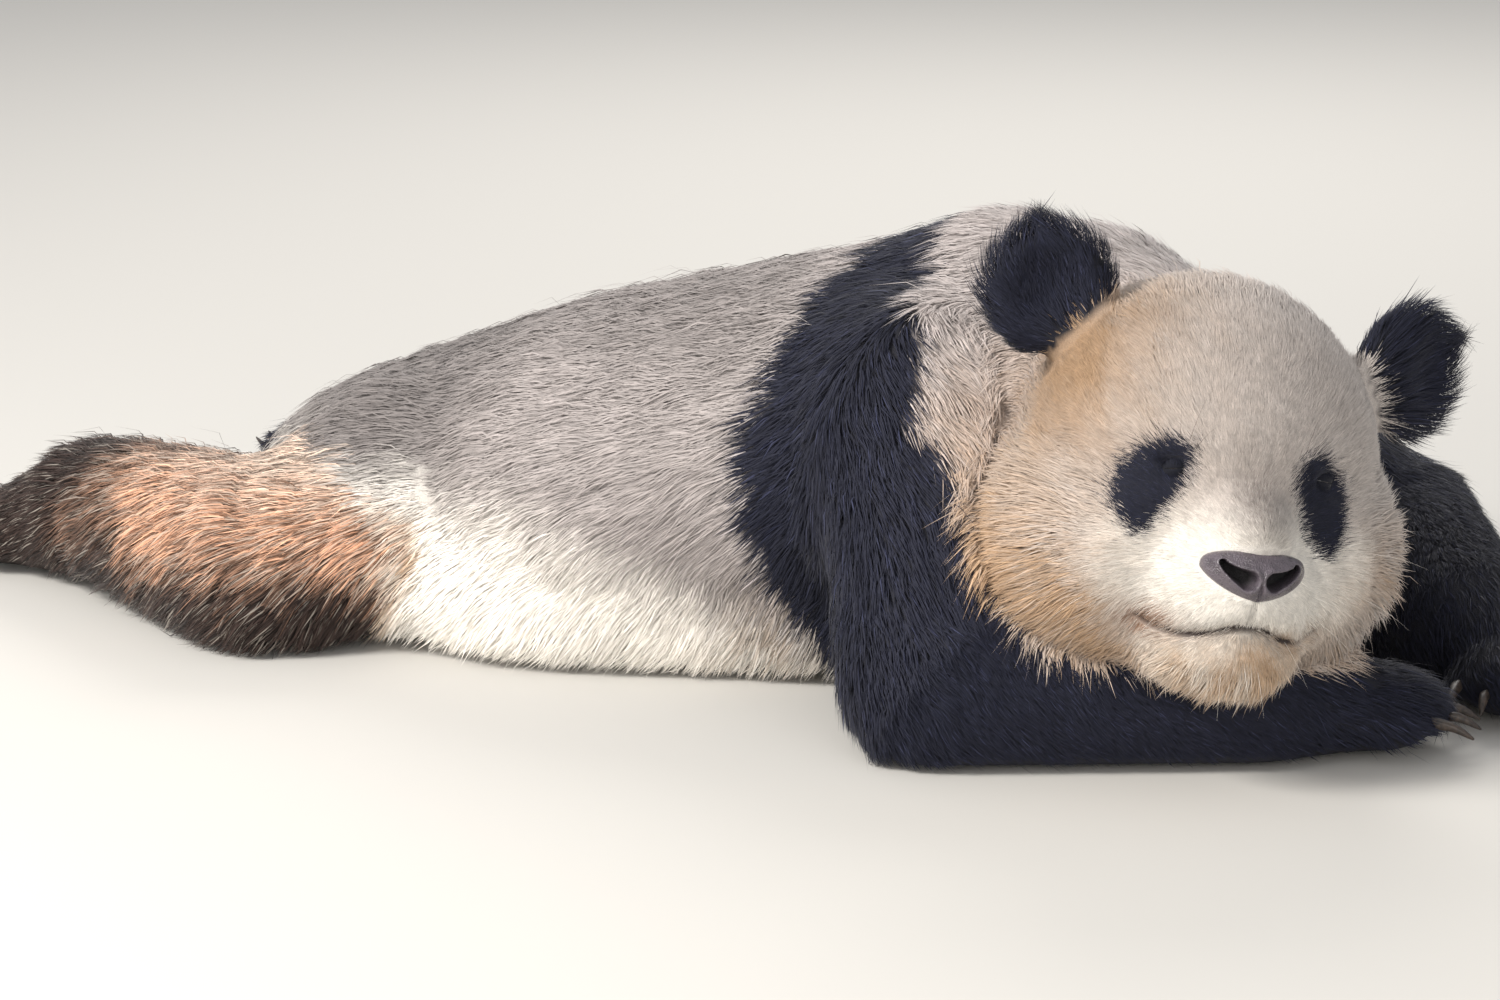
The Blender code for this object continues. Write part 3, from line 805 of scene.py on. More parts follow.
def lie_over(node, spots):
    """The way the hair runs at places over one part."""
    low = rise(0.24 - spots[:, 2], 0.0, 0.20)
    if node == "head":
        away = unit(in_head(spots) - NOSE_TIP)
        away[:, 2] -= 0.35 * rise(-in_head(spots)[:, 2], 0.0, 0.1)
        away[:, 0] -= 0.35
        return away @ head_axes
    if node == "neck":
        outward = np.sign(spots[:, 1] + 0.03) * 0.10
        return np.column_stack([np.full(len(spots), -0.75), outward, -0.35 - 0.5 * low])
    if node == "shoulders":
        return np.column_stack([np.full(len(spots), -0.62), 0 * low, -0.35 - 0.6 * low])
    if node in ("trunk", "tail"):
        droop = np.radians(9 + 38 * low + 12 * rise(spots[:, 0], -0.15, 0.10))
        droop += np.radians(35) * rise(-spots[:, 0], 0.40, 0.52)
        return np.column_stack([-np.cos(droop), 0 * droop, -np.sin(droop)])
    if node in EARS:
        return unit(spots - ear_roots[EARS.index(node)])
    nodes = next(nodes for nodes in LIMBS.values() if node in nodes)
    return along_limb(spots, nodes) + np.array([0, 0, -0.55])


lie = np.zeros_like(places)
for number, node in enumerate(FLESH):
    here = on_node == number
    if here.any():
        lie[here] = unit(lie_over(node, places[here]))
for _ in range(EVENING_ROUNDS):
    lie = laid(spread(lie, edges, EVENING_SPREAD), normals)


# The coat: thin three-cornered locks of hair, each rooted in the hide, lifting a little and then
# lying down along the body, their points drawn together in small clumps. Long on trunk, legs and
# cheeks, short on face, forearms and paws, and none on the nose, the lips, the lids and the underside.

#        part: length, width, lift in degrees
HAIR = {
    "trunk": (0.037, 0.00118, 13),
    "tail": (0.044, 0.0014, 24),
    "shoulders": (0.031, 0.00115, 19),
    "neck": (0.026, 0.00105, 19),
    "head": (0.016, 0.0009, 20),
    "ear": (0.0155, 0.00070, 26),
    "upper_arm": (0.029, 0.00115, 20),
    "forearm": (0.0155, 0.00070, 26),
    "paw": (0.023, 0.0010, 22),
    "thigh": (0.032, 0.0013, 20),
    "shank": (0.036, 0.0013, 24),
    "foot": (0.021, 0.0011, 22),
}
FACE_HAIR = np.array([0.0125, 0.00070, 19])
MUZZLE_HAIR = np.array([0.0062, 0.00055, 22])
PATCH_HAIR = np.array([0.0075, 0.00062, 20])
RUFF_MORE = np.array([0.0270, 0.00022, 9])
TOP_MORE = np.array([0.005, 0.0001, 3])
NAPE_MORE = np.array([0.0095, 0.0001, -2])
RIM_LONGER, RIM_LIFT = 0.018, 36
EAR_CLEAR, EAR_SHORTER, EAR_FLATTER = 0.065, 0.60, 0.55
COVER, SHORT, SHORT_MORE = 3.3, 0.0185, 0.35
BURIED, RAY_START = 0.013, 0.003
LID_REACH = 0.0090
LOCKS_PER_PIECE = 48000
UV_PATCH, TRUNK_END, TRUNK_LONG, TRUNK_CORE_HEIGHT = 0.003, -0.62, 1.15, 0.12
STRAY_LONGER, STRAY_THINNER, STRAY_LIFT, STRAY_SHARE, STRAY_PALER = 1.30, 0.45, 1.15, 0.04, 1.12
CLUMP_LEAST, CLUMP_PER_LENGTH, CLUMP_WAVES, CLUMP_BEND = 0.0045, 0.26, 3.2, 0.45
TURN_WAVE, TURN_SCATTER = 0.22, 0.16
LENGTH_WAVE, LENGTH_SCATTER = 0.12, 0.20
LIFT_WAVE, LIFT_SCATTER, LIFT_LEAST, LIFT_MOST = 0.10, 0.30, 0.05, 0.85
TIP_LIFT, TIP_FLATTER, TIP_DROP = 0.45, 2.0, 3.5
HALFWAY, SIDE_SCATTER, ROLL_SCATTER, WIDTH_SCATTER = 0.45, 0.045, 0.38, 0.2
RIDGE_LONG, RIDGE_SHORT, LOCK_LOWEST = 0.75, 0.7, 0.0012
MARKING_SCATTER, COLOUR_SCATTER = 0.0035, 0.004
GRIZZLED_DARK, GRIZZLED_PALE = 0.26, 0.90
# share and brightness of the black locks made brighter as painted glints
PAINTED_GLINT_SHARE, PAINTED_GLINT, CLUMP_TONE = 0.05, 2.6, 0.06
#        faces, and each corner's place on the lock: across it, and along it from root -1 to point 1
LONG_LOCK = ((0, 3, 1), (0, 2, 3), (1, 3, 4), (3, 2, 4)), ((0, -1), (-1, 0), (1, 0), (0, 0), (0, 1))
SHORT_LOCK = ((0, 2, 3), (2, 1, 3)), ((-1, -1), (1, -1), (0, -1), (0, 1))
#        how far halves and points are drawn to their clump, shading's bend, unevenness of tone
WHITE_LOCKS = (0.14, 0.32), 0.25, 0.075
DARK_LOCKS = (0.22, 0.46), 0.42, 0.10
#        colour of root, middle and point against the middle's, for white and for black hair
TONES = np.array([(0.89, 0.98, 1.04), (0.55, 0.92, 1.15)])

hair = spread(np.array([for_part(HAIR, node) for node in FLESH])[on_node], edges, 6)
of_head = rise(spread(over(["head"]), edges, 3), 0.3, 0.9)
of_ear = over(EARS) > 0
ahead, aside, above = at.T
cheek = rise(np.abs(aside), 0.055, 0.125) * rise(-above, -0.050, 0.030) * rise(0.115 - ahead, 0.0, 0.05)
chin = rise(-above, 0.108, 0.130)
ruff = np.maximum(cheek, 0.55 * chin)
top = rise(above, 0.05, 0.13) * rise(0.09 - ahead, 0.0, 0.08)
muzzle = rise(ahead, 0.085, 0.128) * rise(0.060 - np.abs(aside), 0.0, 0.025) * (1 - chin)
nape = rise(0.060 - ahead, 0.0, 0.06) * rise(np.hypot(aside, above), 0.085, 0.120) * (1 - ruff)
face_hair = FACE_HAIR + ruff[:, None] * RUFF_MORE + top[:, None] * TOP_MORE + nape[:, None] * NAPE_MORE
face_hair = toward(face_hair, MUZZLE_HAIR, muzzle * (1 - ruff))
face_hair = toward(face_hair, PATCH_HAIR, rise(1.25 - in_patch(at), 0.0, 0.3))
hair_length, hair_width, hair_lift = toward(hair, face_hair, of_head).T
from_root = places - ear_roots[(aside > 0).astype(int)]
by_ear = hill(np.linalg.norm(from_root, axis=1), EAR_CLEAR) * rise(ahead, -0.045, -0.01) * ~of_ear
rim = of_ear * rise((unit(from_root) * normals).sum(axis=1), 0.25, 0.90)
hair_length = hair_length * (1 - EAR_SHORTER * by_ear) + RIM_LONGER * rim
hair_lift = hair_lift * (1 - EAR_FLATTER * by_ear) + RIM_LIFT * rim

bare = np.clip(hill(lips, 0.0022) * 1.6, 0, 1)
bare = np.maximum(bare, (far(at, nose_middle, (0.0, 1 / 0.0405, 1 / 0.0200)) < 1) & (ahead > 0.14))
for eye in eye_middles.values():
    bare = np.maximum(bare, far(at, eye, (0.6, 1, 1.35)) < LID_REACH)
bare = np.maximum(bare, (normals[:, 2] < -0.55) & (places[:, 2] < 0.022))

mesh.calc_loop_triangles()
corners = values_of(mesh.loop_triangles, "vertices", 3, int)
hide_tree = BVHTree.FromPolygons(places.tolist(), corners.tolist())
for number, (place, out) in enumerate(zip(places, normals)):
    if hide_tree.ray_cast(Vector(place + out * RAY_START), Vector(out), BURIED)[0]:
        bare[number] = 1

sides_of = places[corners[:, 1:]] - places[corners[:, :1]]
areas = np.linalg.norm(np.cross(sides_of[:, 0], sides_of[:, 1]), axis=1) / 2
triangle_short = hair_length[corners].mean(axis=1) < SHORT
crowding = areas * COVER / (0.55 * hair_length * hair_width)[corners].mean(axis=1)
crowding *= 1 - bare[corners].max(axis=1)
crowding *= 1 + SHORT_MORE * triangle_short


def round_x(spots):
    """Unwrapped round the length of the trunk: how far along, and how far round from underneath."""
    round_it = np.arctan2(spots[:, 1], TRUNK_CORE_HEIGHT - spots[:, 2]) / (2 * np.pi) + 0.5
    return np.column_stack([(spots[:, 0] - TRUNK_END) / TRUNK_LONG, round_it])


def round_limb(nodes):
    """Unwrapped round a leg: how far along the line of its parts, and how far round that line."""
    stops = np.array([middle(node) for node in nodes])
    path = np.array([2 * stops[0] - stops[1], *stops, 2 * stops[2] - stops[1]])
    lengths = np.linalg.norm(np.diff(path, axis=0), axis=1)
    marks = np.concatenate([[0], np.cumsum(lengths)]) / lengths.sum()
    ways = unit(np.diff(path, axis=0))

    def unwrap(spots):
        _, how_far = from_path(spots, path)
        middles = np.column_stack([np.interp(how_far, marks, column) for column in path.T])
        halves = (marks[1:] + marks[:-1]) / 2
        way = unit(np.column_stack([np.interp(how_far, halves, column) for column in ways.T]))
        out = spots - middles
        across = unit(np.cross(way, (0, 0, 1)))
        upward = np.cross(across, way)
        round_it = np.arctan2((out * across).sum(axis=1), -(out * upward).sum(axis=1)) / (2 * np.pi) + 0.5
        return np.column_stack([how_far, round_it])

    return unwrap


def round_point(centre, pole):
    """Unwrapped from a point: the way out of it, laid flat as a disc about the pole."""
    pole = unit(np.array(pole))
    across = unit(np.cross(pole, (0.01, 0.02, 1)))
    upward = np.cross(across, pole)

    def unwrap(spots):
        out = unit(spots - centre)
        turn = np.arccos(np.clip(out @ pole, -1, 1)) / np.pi
        round_it = np.arctan2(out @ upward, out @ across)
        return 0.5 + 0.49 * turn[:, None] * np.column_stack([np.cos(round_it), np.sin(round_it)])

    return unwrap


def rooted(weights, seed):
    """Roots spread evenly by the triangles' weights: triangle numbers and shares of their corners."""
    draw = np.random.default_rng(seed)
    sums = np.cumsum(weights)
    count = int(sums[-1])
    marks = (np.arange(count) + draw.random(count)) * sums[-1] / count
    triangles = np.minimum(np.searchsorted(sums, marks), len(sums) - 1)
    one, two = draw.random((2, count))
    fold = one + two > 1
    one, two = np.where(fold, 1 - one, one), np.where(fold, 1 - two, two)
    return triangles, np.column_stack([1 - one - two, one, two]), draw


def clumped(roots, points, size, shares, seed):
    """Points drawn towards the mean of their clump: a clump is a cell of a rippled grid."""
    wave = CLUMP_WAVES * float(np.median(size))
    bent = np.column_stack([ripple(roots, wave, seed + axis) for axis in range(3)])
    cells = np.floor(roots / size[:, None] + CLUMP_BEND * bent).astype(np.int64)
    keys = cells[:, 0] * 73856093 ^ cells[:, 1] * 19349663 ^ cells[:, 2] * 83492791
    _, clump = np.unique(keys, return_inverse=True)
    counts = np.bincount(clump)
    drawn = []
    for point, share in zip(points, shares):
        means = np.array([np.bincount(clump, column)[clump] / counts[clump] for column in point.T]).T
        drawn.append(point + (means - point) * share)
    return drawn, clump


def leaning(way, out, angle):
    """The way along the skin, lifted off it by an angle."""
    return way * np.cos(angle)[:, None] + out * np.sin(angle)[:, None]


def coat_piece(name, lock, points, facing, colours, spots):
    """One mesh of like locks: their corners' places, normals and colours, and their UV spots."""
    faces, patch = lock
    count, each = points.shape[:2]
    loops = (np.arange(count)[:, None] * each + np.ravel(faces)).ravel()
    unwrapped = spots[:, None] + np.array(patch) * UV_PATCH / 2
    made = bpy.data.meshes.new(name)
    made.vertices.add(count * each)
    made.vertices.foreach_set("co", points.astype(np.float32).ravel())
    made.loops.add(len(loops))
    made.loops.foreach_set("vertex_index", loops.astype(np.int32))
    made.polygons.add(count * len(faces))
    made.polygons.foreach_set("loop_start", np.arange(0, len(loops), 3, dtype=np.int32))
    made.update(calc_edges=True)
    made.shade_smooth()
    shown_in(made, "marking", colours.reshape(-1, 3))
    uv_map = made.uv_layers.new(name="OFBake")
    uv_map.data.foreach_set("uv", unwrapped.reshape(-1, 2)[loops].astype(np.float32).ravel())
    own_normals = made.attributes.new("custom_normal", "FLOAT_VECTOR", "POINT")
    own_normals.data.foreach_set("vector", facing.astype(np.float32).ravel())
    made.materials.append(coat_material)
    thing = put(name, made)
    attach(thing, "root")


def grown(name, slot, weights, lock, unwrap, seed, stray=False):
    """The locks of one region of the coat, cut along the body into pieces of a handy size."""
    triangles, shares, draw = rooted(weights, seed)
    count = len(triangles)
    drawn, bend, uneven = WHITE_LOCKS if slot == "white_coat" else DARK_LOCKS

    def taken(values):
        return np.einsum("tk...,tk->t...", values[corners[triangles]], shares)

    # How each lock lies: root, way along the skin, length, width and lift, all a little uneven.
    roots, out, way = taken(places), unit(taken(normals)), taken(lie)
    length, width, lift = taken(hair_length), taken(hair_width), np.radians(taken(hair_lift))
    if stray:
        length, width, lift = length * STRAY_LONGER, width * STRAY_THINNER, lift * STRAY_LIFT
        drawn = (0, 0)
    clump_size = CLUMP_LEAST + CLUMP_PER_LENGTH * length
    turn = TURN_WAVE * ripple(roots, 0.045, seed + 20) + TURN_SCATTER * draw.normal(size=count)
    way = laid(way, out)
    way = leaning(way, np.cross(way, out), turn)
    across = np.cross(way, out)
    length = length * np.exp(LENGTH_SCATTER * draw.normal(size=count))
    length = length * (1 + LENGTH_WAVE * ripple(roots, 0.03, seed + 30))
    lift = lift * np.exp(LIFT_SCATTER * draw.normal(size=count))
    lift = np.clip(lift + LIFT_WAVE * ripple(roots, 0.022, seed + 31), LIFT_LEAST, LIFT_MOST)

    # Its shape: up out of the skin for the first half, then down along it and a little by its weight.
    first = leaning(way, out, lift)
    second = leaning(way, out, lift * TIP_LIFT - TIP_FLATTER * np.maximum(length - 0.012, 0))
    second[:, 2] -= TIP_DROP * np.maximum(length - 0.010, 0)
    start = roots - out * np.minimum(0.0012, 0.05 * length)[:, None]
    halfway = start + first * (length * HALFWAY)[:, None]
    halfway += across * (length * SIDE_SCATTER * draw.normal(size=count))[:, None]
    tip = halfway + unit(second) * (length * (1 - HALFWAY))[:, None]
    (halfway, tip), clump = clumped(roots, (halfway, tip), clump_size, drawn, seed + 40)
    side = leaning(across, out, ROLL_SCATTER * draw.normal(size=count))
    ridge = np.cross(side, first)
    half = (width / 2 * np.exp(WIDTH_SCATTER * draw.normal(size=count)))[:, None]
    outward = unit(out + 0.12 * draw.normal(size=(count, 3)))
    left, right = unit(outward - bend * side), unit(outward + bend * side)
    if lock is LONG_LOCK:
        crest = halfway + ridge * half * RIDGE_LONG
        points = [start, halfway - side * half, halfway + side * half, crest, tip]
        facing = [outward, left, right, outward, outward]
    else:
        points = [start - side * half, start + side * half, start + ridge * half * RIDGE_SHORT, tip]
        facing = [left, right, outward, outward]
    points, facing = np.stack(points, axis=1), np.stack(facing, axis=1)
    points[..., 2] = np.maximum(points[..., 2], LOCK_LOWEST)

    # Its colour: of its place, some grizzled on the bleached thigh, darker at the root, and a few black
    # locks made brighter as painted glints.
    of_thigh = taken(thigh_near)
    spots = roots + MARKING_SCATTER * draw.normal(size=(count, 3))
    black = blackness(spots, taken(black_near), taken(torso_near))
    colour = coat_colour(roots + COLOUR_SCATTER * draw.normal(size=(count, 3)), black, of_thigh)
    grizzled = (of_thigh > 0.3) & (black > 0.4)
    chance = draw.random(count)
    colour = np.where((grizzled & (chance < GRIZZLED_DARK))[:, None], colour * 0.35, colour)
    pale = grizzled & (chance > GRIZZLED_PALE - 0.25 * (colour[:, 0] > 0.2))
    colour = np.where(pale[:, None], colour * 0.4 + 0.30 * CREAM, colour)
    of_clump = np.random.default_rng(seed + 50).normal(size=clump.max() + 1)[clump]
    tone = np.exp(uneven * draw.normal(size=count) + CLUMP_TONE * of_clump)
    # painted glints on a few black locks
    painted_glint = (black > 0.5) & ~grizzled & (draw.random(count) < PAINTED_GLINT_SHARE)
    tone *= np.where(painted_glint, PAINTED_GLINT, 1.0) * (STRAY_PALER if stray else 1.0)
    tones = TONES[(black > 0.5).astype(int)][:, [along + 1 for _, along in lock[1]]]
    colours = colour[:, None, :] * tone[:, None, None] * tones[:, :, None]

    unwrapped = unwrap(roots)
    pieces = max(1, math.ceil(count / LOCKS_PER_PIECE))
    for number, part in enumerate(np.array_split(np.argsort(roots[:, 0], kind="stable"), pieces), 1):
        piece = name if pieces == 1 else f"{name}_{number}"
        coat_piece(piece, lock, points[part], facing[part], colours[part], unwrapped[part])


fibre = Finish("coat of hair")
strand = fibre.noise(160.0, 2.0)
strand_share = 0.20 * strand.between(0.62, 0.38)
coat_material = fibre.set(
    Base_Color=fibre.tinted(fibre.attribute("marking"), (0.6, 0.6, 0.6, 1), strand_share, "MULTIPLY"),
    Roughness=0.68,
    Specular_IOR_Level=0.22,
    Sheen_Weight=0.12,
    Sheen_Roughness=0.5,
)


def on(*nodes):
    """True on the hide's triangles over the named nodes."""
    return over(nodes)[corners[:, 0]] > 0


right_side = places[corners].mean(axis=1)[:, 1] < 0
trunk, skull = on("trunk", "tail"), on("head")
round_head = round_point(head_middle, head_forward)
#        piece, slot, where, fullness, unwrapping
regions = [
    ("coat_trunk_right", "white_coat", trunk & right_side, 1.55, round_x),
    ("coat_trunk_left", "white_coat", trunk & ~right_side, 0.72, round_x),
    ("coat_shoulders", "black_coat", on("shoulders"), 1.3, round_x),
    ("coat_neck", "white_coat", on("neck"), 0.95, round_x),
    ("coat_cheeks", "white_coat", skull & ~triangle_short, 1.35, round_head),
    ("coat_face", "white_coat", skull & triangle_short, 0.76, round_head),
]
regions += [
    (f"coat_{ear}", "black_coat", on(ear), 1.0, round_point(middle(ear), head_forward)) for ear in EARS
]
regions += [
    (f"coat_{limb}", slot, on(*LIMBS[limb]), fullness, round_limb(LIMBS[limb]))
    for limb, slot, fullness in (
        ("right_arm", "black_coat", 0.82),
        ("left_arm", "black_coat", 0.33),
        ("right_leg", "bleached_coat", 1.25),
        ("left_leg", "black_coat", 0.68),
    )
]
for number, (name, slot, chosen, fullness, unwrap) in enumerate(regions, 1):
    seed, lock = 100 * number, SHORT_LOCK if name == "coat_face" else LONG_LOCK
    grown(name, slot, crowding * chosen * fullness, lock, unwrap, seed)
    if lock is LONG_LOCK and "ear" not in name:
        grown(name + "_strays", slot, crowding * chosen * STRAY_SHARE, lock, unwrap, seed + 60, True)


# The eyes: dark glossy balls, each nearly shut behind two lids of black skin with short hair. The
# lids are one ring of skin, domed over the ball, open in a narrow slit and sunk into the hide.

EYE_RADIUS, BALL_ROUND, BALL_STEPS = 0.0115, 48, 24
SEAT_BACK, CORNEA, CORNEA_WIDE = 0.0042, 0.035, 0.45
SLIT_HALF_LENGTH, SLIT_ABOVE, SLIT_BELOW, SLIT_TILT = 0.0104, 0.00035, 0.00025, math.radians(9)
LID_CLEARANCE, LID_THICK, LID_RIM, LID_SUNK, LID_ROUND = 0.0006, 0.0011, 0.0200, 0.0035, 64
CREASE_ABOVE, CREASE_BELOW, CREASE_AT, CREASE_WIDE = 0.0009, 0.0006, 0.0098, 0.0011
LID_HAIRS, LID_HAIR_LENGTH, LID_HAIR_WIDTH, LID_HAIR_ROOT = 4400, 0.0042, 0.00050, 0.0002
LID_HAIR_TONES = np.array([0.6, 0.6, 0.7, 1.1])


def grid_faces(rows, columns, start=0):
    """Four-sided faces of a grid of rows of points, each row closed on itself."""
    row, column = np.meshgrid(np.arange(rows - 1), np.arange(columns), indexing="ij")
    after = (column + 1) % columns
    this, following = row * columns, (row + 1) * columns
    faces = np.stack([this + column, this + after, following + after, following + column], axis=-1)
    return (faces.reshape(-1, 4) + start).tolist()


def capped_faces(rows, columns):
    """Faces of a grid of closed rows, and fans from its first and last rows to two more points."""
    step = np.arange(columns)
    after, last = (step + 1) % columns, (rows - 1) * columns
    hub = np.full(columns, rows * columns)
    fans = np.stack([hub, after, step, hub + 1, last + step, last + after], axis=1)
    return grid_faces(rows, columns) + fans.reshape(-1, 3).tolist()


def smooth_piece(name, places, faces, finish):
    """A smooth piece from its grid, in its finish, riding on the body."""
    made = bpy.data.meshes.new(name)
    made.from_pydata(places.tolist(), [], faces)
    made.shade_smooth()
    made.update()
    made.materials.append(finish)
    thing = put(name, made)
    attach(thing, "root")
    return thing


def gaze_axes(side):
    """The way an eye looks, square to the face there; its slit's length; and up across the slit."""
    eye = eye_middles[side]
    probe = np.eye(3) * 0.004
    level = head_level(np.concatenate([eye + probe, eye - probe]))
    out = unit(level[:3] - level[3:])
    across = unit(np.cross((0, 0, 1), out))
    upward = np.cross(out, across)
    tilt = -side * SLIT_TILT
    turned = across * math.cos(tilt) + upward * math.sin(tilt)
    return np.array([out, turned, np.cross(out, turned)])


def ball():
    """A ball of rings round its front pole, the cornea a little proud: (front, across, up)."""
    lean = np.linspace(0, np.pi, BALL_STEPS + 1)[1:-1]
    turn = np.arange(BALL_ROUND) * 2 * np.pi / BALL_ROUND
    lean, turn = np.meshgrid(lean, turn, indexing="ij")
    swell = EYE_RADIUS * (1 + CORNEA * hill(lean, CORNEA_WIDE))
    rings = np.stack([np.cos(lean), np.sin(lean) * np.cos(turn), np.sin(lean) * np.sin(turn)], axis=-1)
    poles = [[EYE_RADIUS * (1 + CORNEA), 0, 0], [-EYE_RADIUS, 0, 0]]
    places = np.concatenate([(rings * swell[..., None]).reshape(-1, 3), poles])
    return places, capped_faces(BALL_STEPS - 1, BALL_ROUND)


def lids(rim_height):
    """Ring of skin: from the slit's edge, over the ball, out to its sunk rim: (front, across, up)."""
    turn = np.arange(LID_ROUND) * 2 * np.pi / LID_ROUND
    steps = np.concatenate([[-0.10, -0.04], np.linspace(0, 1, 15)])
    out, turn = np.meshgrid(steps, turn, indexing="ij")
    half_height = np.where(np.sin(turn) > 0, SLIT_ABOVE, SLIT_BELOW)
    edge = np.stack([SLIT_HALF_LENGTH * np.cos(turn), half_height * np.sin(turn)])
    rim = np.stack([LID_RIM * np.cos(turn), LID_RIM * np.sin(turn)])
    flat = edge + (rim - edge) * np.maximum(out, 0)
    reach = np.hypot(*flat)
    dome_radius = EYE_RADIUS + LID_CLEARANCE + LID_THICK
    dome = np.sqrt(np.maximum(dome_radius**2 - np.minimum(reach, 0.86 * dome_radius) ** 2, 0))
    settled = rise(reach, 0.80 * dome_radius, LID_RIM)
    height = dome * (1 - settled) + rim_height * settled
    crease = np.where(np.sin(turn) > 0, CREASE_ABOVE, CREASE_BELOW) * hill(reach - CREASE_AT, CREASE_WIDE)
    height -= crease * rise(np.abs(np.sin(turn)), 0.15, 0.6)
    height += 0.0004 * hill(out - 0.07, 0.07) - 0.018 * np.maximum(-out, 0)
    places = np.stack([height, flat[0], flat[1]], axis=-1).reshape(-1, 3)
    return places, grid_faces(len(steps), LID_ROUND)


def lid_hairs(grid, seed):
    """Short hairs over the lids, lying from the slit out to the rim: roots, directions, outwards."""
    draw = np.random.default_rng(seed)
    row = 3.0 + 11.7 * np.sqrt(draw.random(LID_HAIRS))
    column = draw.random(LID_HAIRS) * LID_ROUND
    low, left = row.astype(int), column.astype(int)
    part, turn = (row - low)[:, None], (column - left)[:, None]
    a, b, c, d = [grid[low + down, (left + along) % LID_ROUND] for down in (0, 1) for along in (0, 1)]
    inner, outer = a + (b - a) * turn, c + (d - c) * turn
    way = unit(outer - inner)
    out = unit(np.cross(b - a, way))
    way = unit(way + 0.25 * draw.normal(size=way.shape))
    return inner + (outer - inner) * part, way, out, draw


glossy = Finish("eye")
iris = glossy.noise(420.0, 4.0)
eye_material = glossy.set(
    Base_Color=glossy.tinted((0.010, 0.006, 0.005, 1), (0.045, 0.020, 0.010, 1), iris.between(0.4, 0.7)),
    Roughness=0.06,
    Coat_Weight=1.0,
    Coat_Roughness=0.02,
)
bare_skin = Finish("skin of the lids")
wrinkle = bare_skin.noise(1100.0, 4.0)
lid_material = bare_skin.set(
    Base_Color=bare_skin.tinted((0.0065, 0.0070, 0.0115, 1), (0.0110, 0.0118, 0.0185, 1), wrinkle),
    Roughness=0.80,
    Specular_IOR_Level=0.15,
    Sheen_Weight=0.10,
    Normal=bare_skin.bump(wrinkle, 0.5, 0.0006),
)

for word, side in SIDES.items():
    axes = gaze_axes(side)
    seat = eye_middles[side] - SEAT_BACK * axes[0]
    depths = np.linspace(-0.01, 0.02, 61)
    ahead_of_seat = seat + depths[:, None] * axes[0]
    skin_height = float(np.interp(0, head_level(ahead_of_seat) + face_depth(ahead_of_seat), depths))
    local, faces = ball()
    eye = smooth_piece(f"eyeball_{word}", from_head(seat + local @ axes), faces, eye_material)
    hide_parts(f"eye_{word}")
    local, faces = lids(skin_height - LID_SUNK)
    lid_places = from_head(seat + local @ axes)
    lid = smooth_piece(f"lids_{word}", lid_places, faces, lid_material)

    roots, ways, outs, draw = lid_hairs(lid_places.reshape(-1, LID_ROUND, 3), 700 + side)
    outs *= np.sign((outs @ (axes[0] @ head_axes)).mean())
    across = np.cross(ways, outs)
    length = LID_HAIR_LENGTH * np.exp(0.2 * draw.normal(size=(LID_HAIRS, 1)))
    half, rooting = across * LID_HAIR_WIDTH / 2, outs * LID_HAIR_ROOT
    tips = roots + length * (ways * 0.93 + outs * 0.36)
    points = np.stack([roots - half - rooting, roots + half - rooting, roots + rooting, tips], axis=1)
    facing = np.stack([unit(outs - 0.4 * across), unit(outs + 0.4 * across), outs, outs], axis=1)
    colours = np.tile(BLACK, (LID_HAIRS, 4, 1)) * LID_HAIR_TONES[None, :, None]
    coat_piece(f"coat_lids_{word}", SHORT_LOCK, points, facing, colours, round_head(roots))


# The nose leather: a broad pad with a flat top and a pointed foot, wrapped round the end of the
# muzzle, with two comma-shaped nostrils darkened inside as painted shade, a furrow below and a damp
# pebbled surface.

NOSE_WIDE, NOSE_ABOVE, NOSE_BELOW = 0.0425, 0.0165, 0.0215
NOSE_HEIGHT, NOSE_FRONT = -0.0410, 0.1865
NOSE_STEPS, NOSE_ROUND = 72, 256
NOSE_FLAT_TOP, NOSE_POINTED_FOOT = 2.7, 1.45
NOSTRIL = np.array(
    [(0.0112, -0.0040), (0.0165, -0.0020), (0.0225, 0.0008), (0.0280, 0.0040), (0.0305, 0.0068)]
)
NOSTRIL_WIDE, NOSTRIL_NARROWING, NOSTRIL_DEPTH, NOSTRIL_RIM = 0.0070, 0.0042, 0.0165, 0.0013
# how much darker the nostrils' insides are: painted shade in the hollows
NOSE_COLOUR, NOSTRIL_PAINTED_SHADE = np.array((0.102, 0.083, 0.100)), 0.985


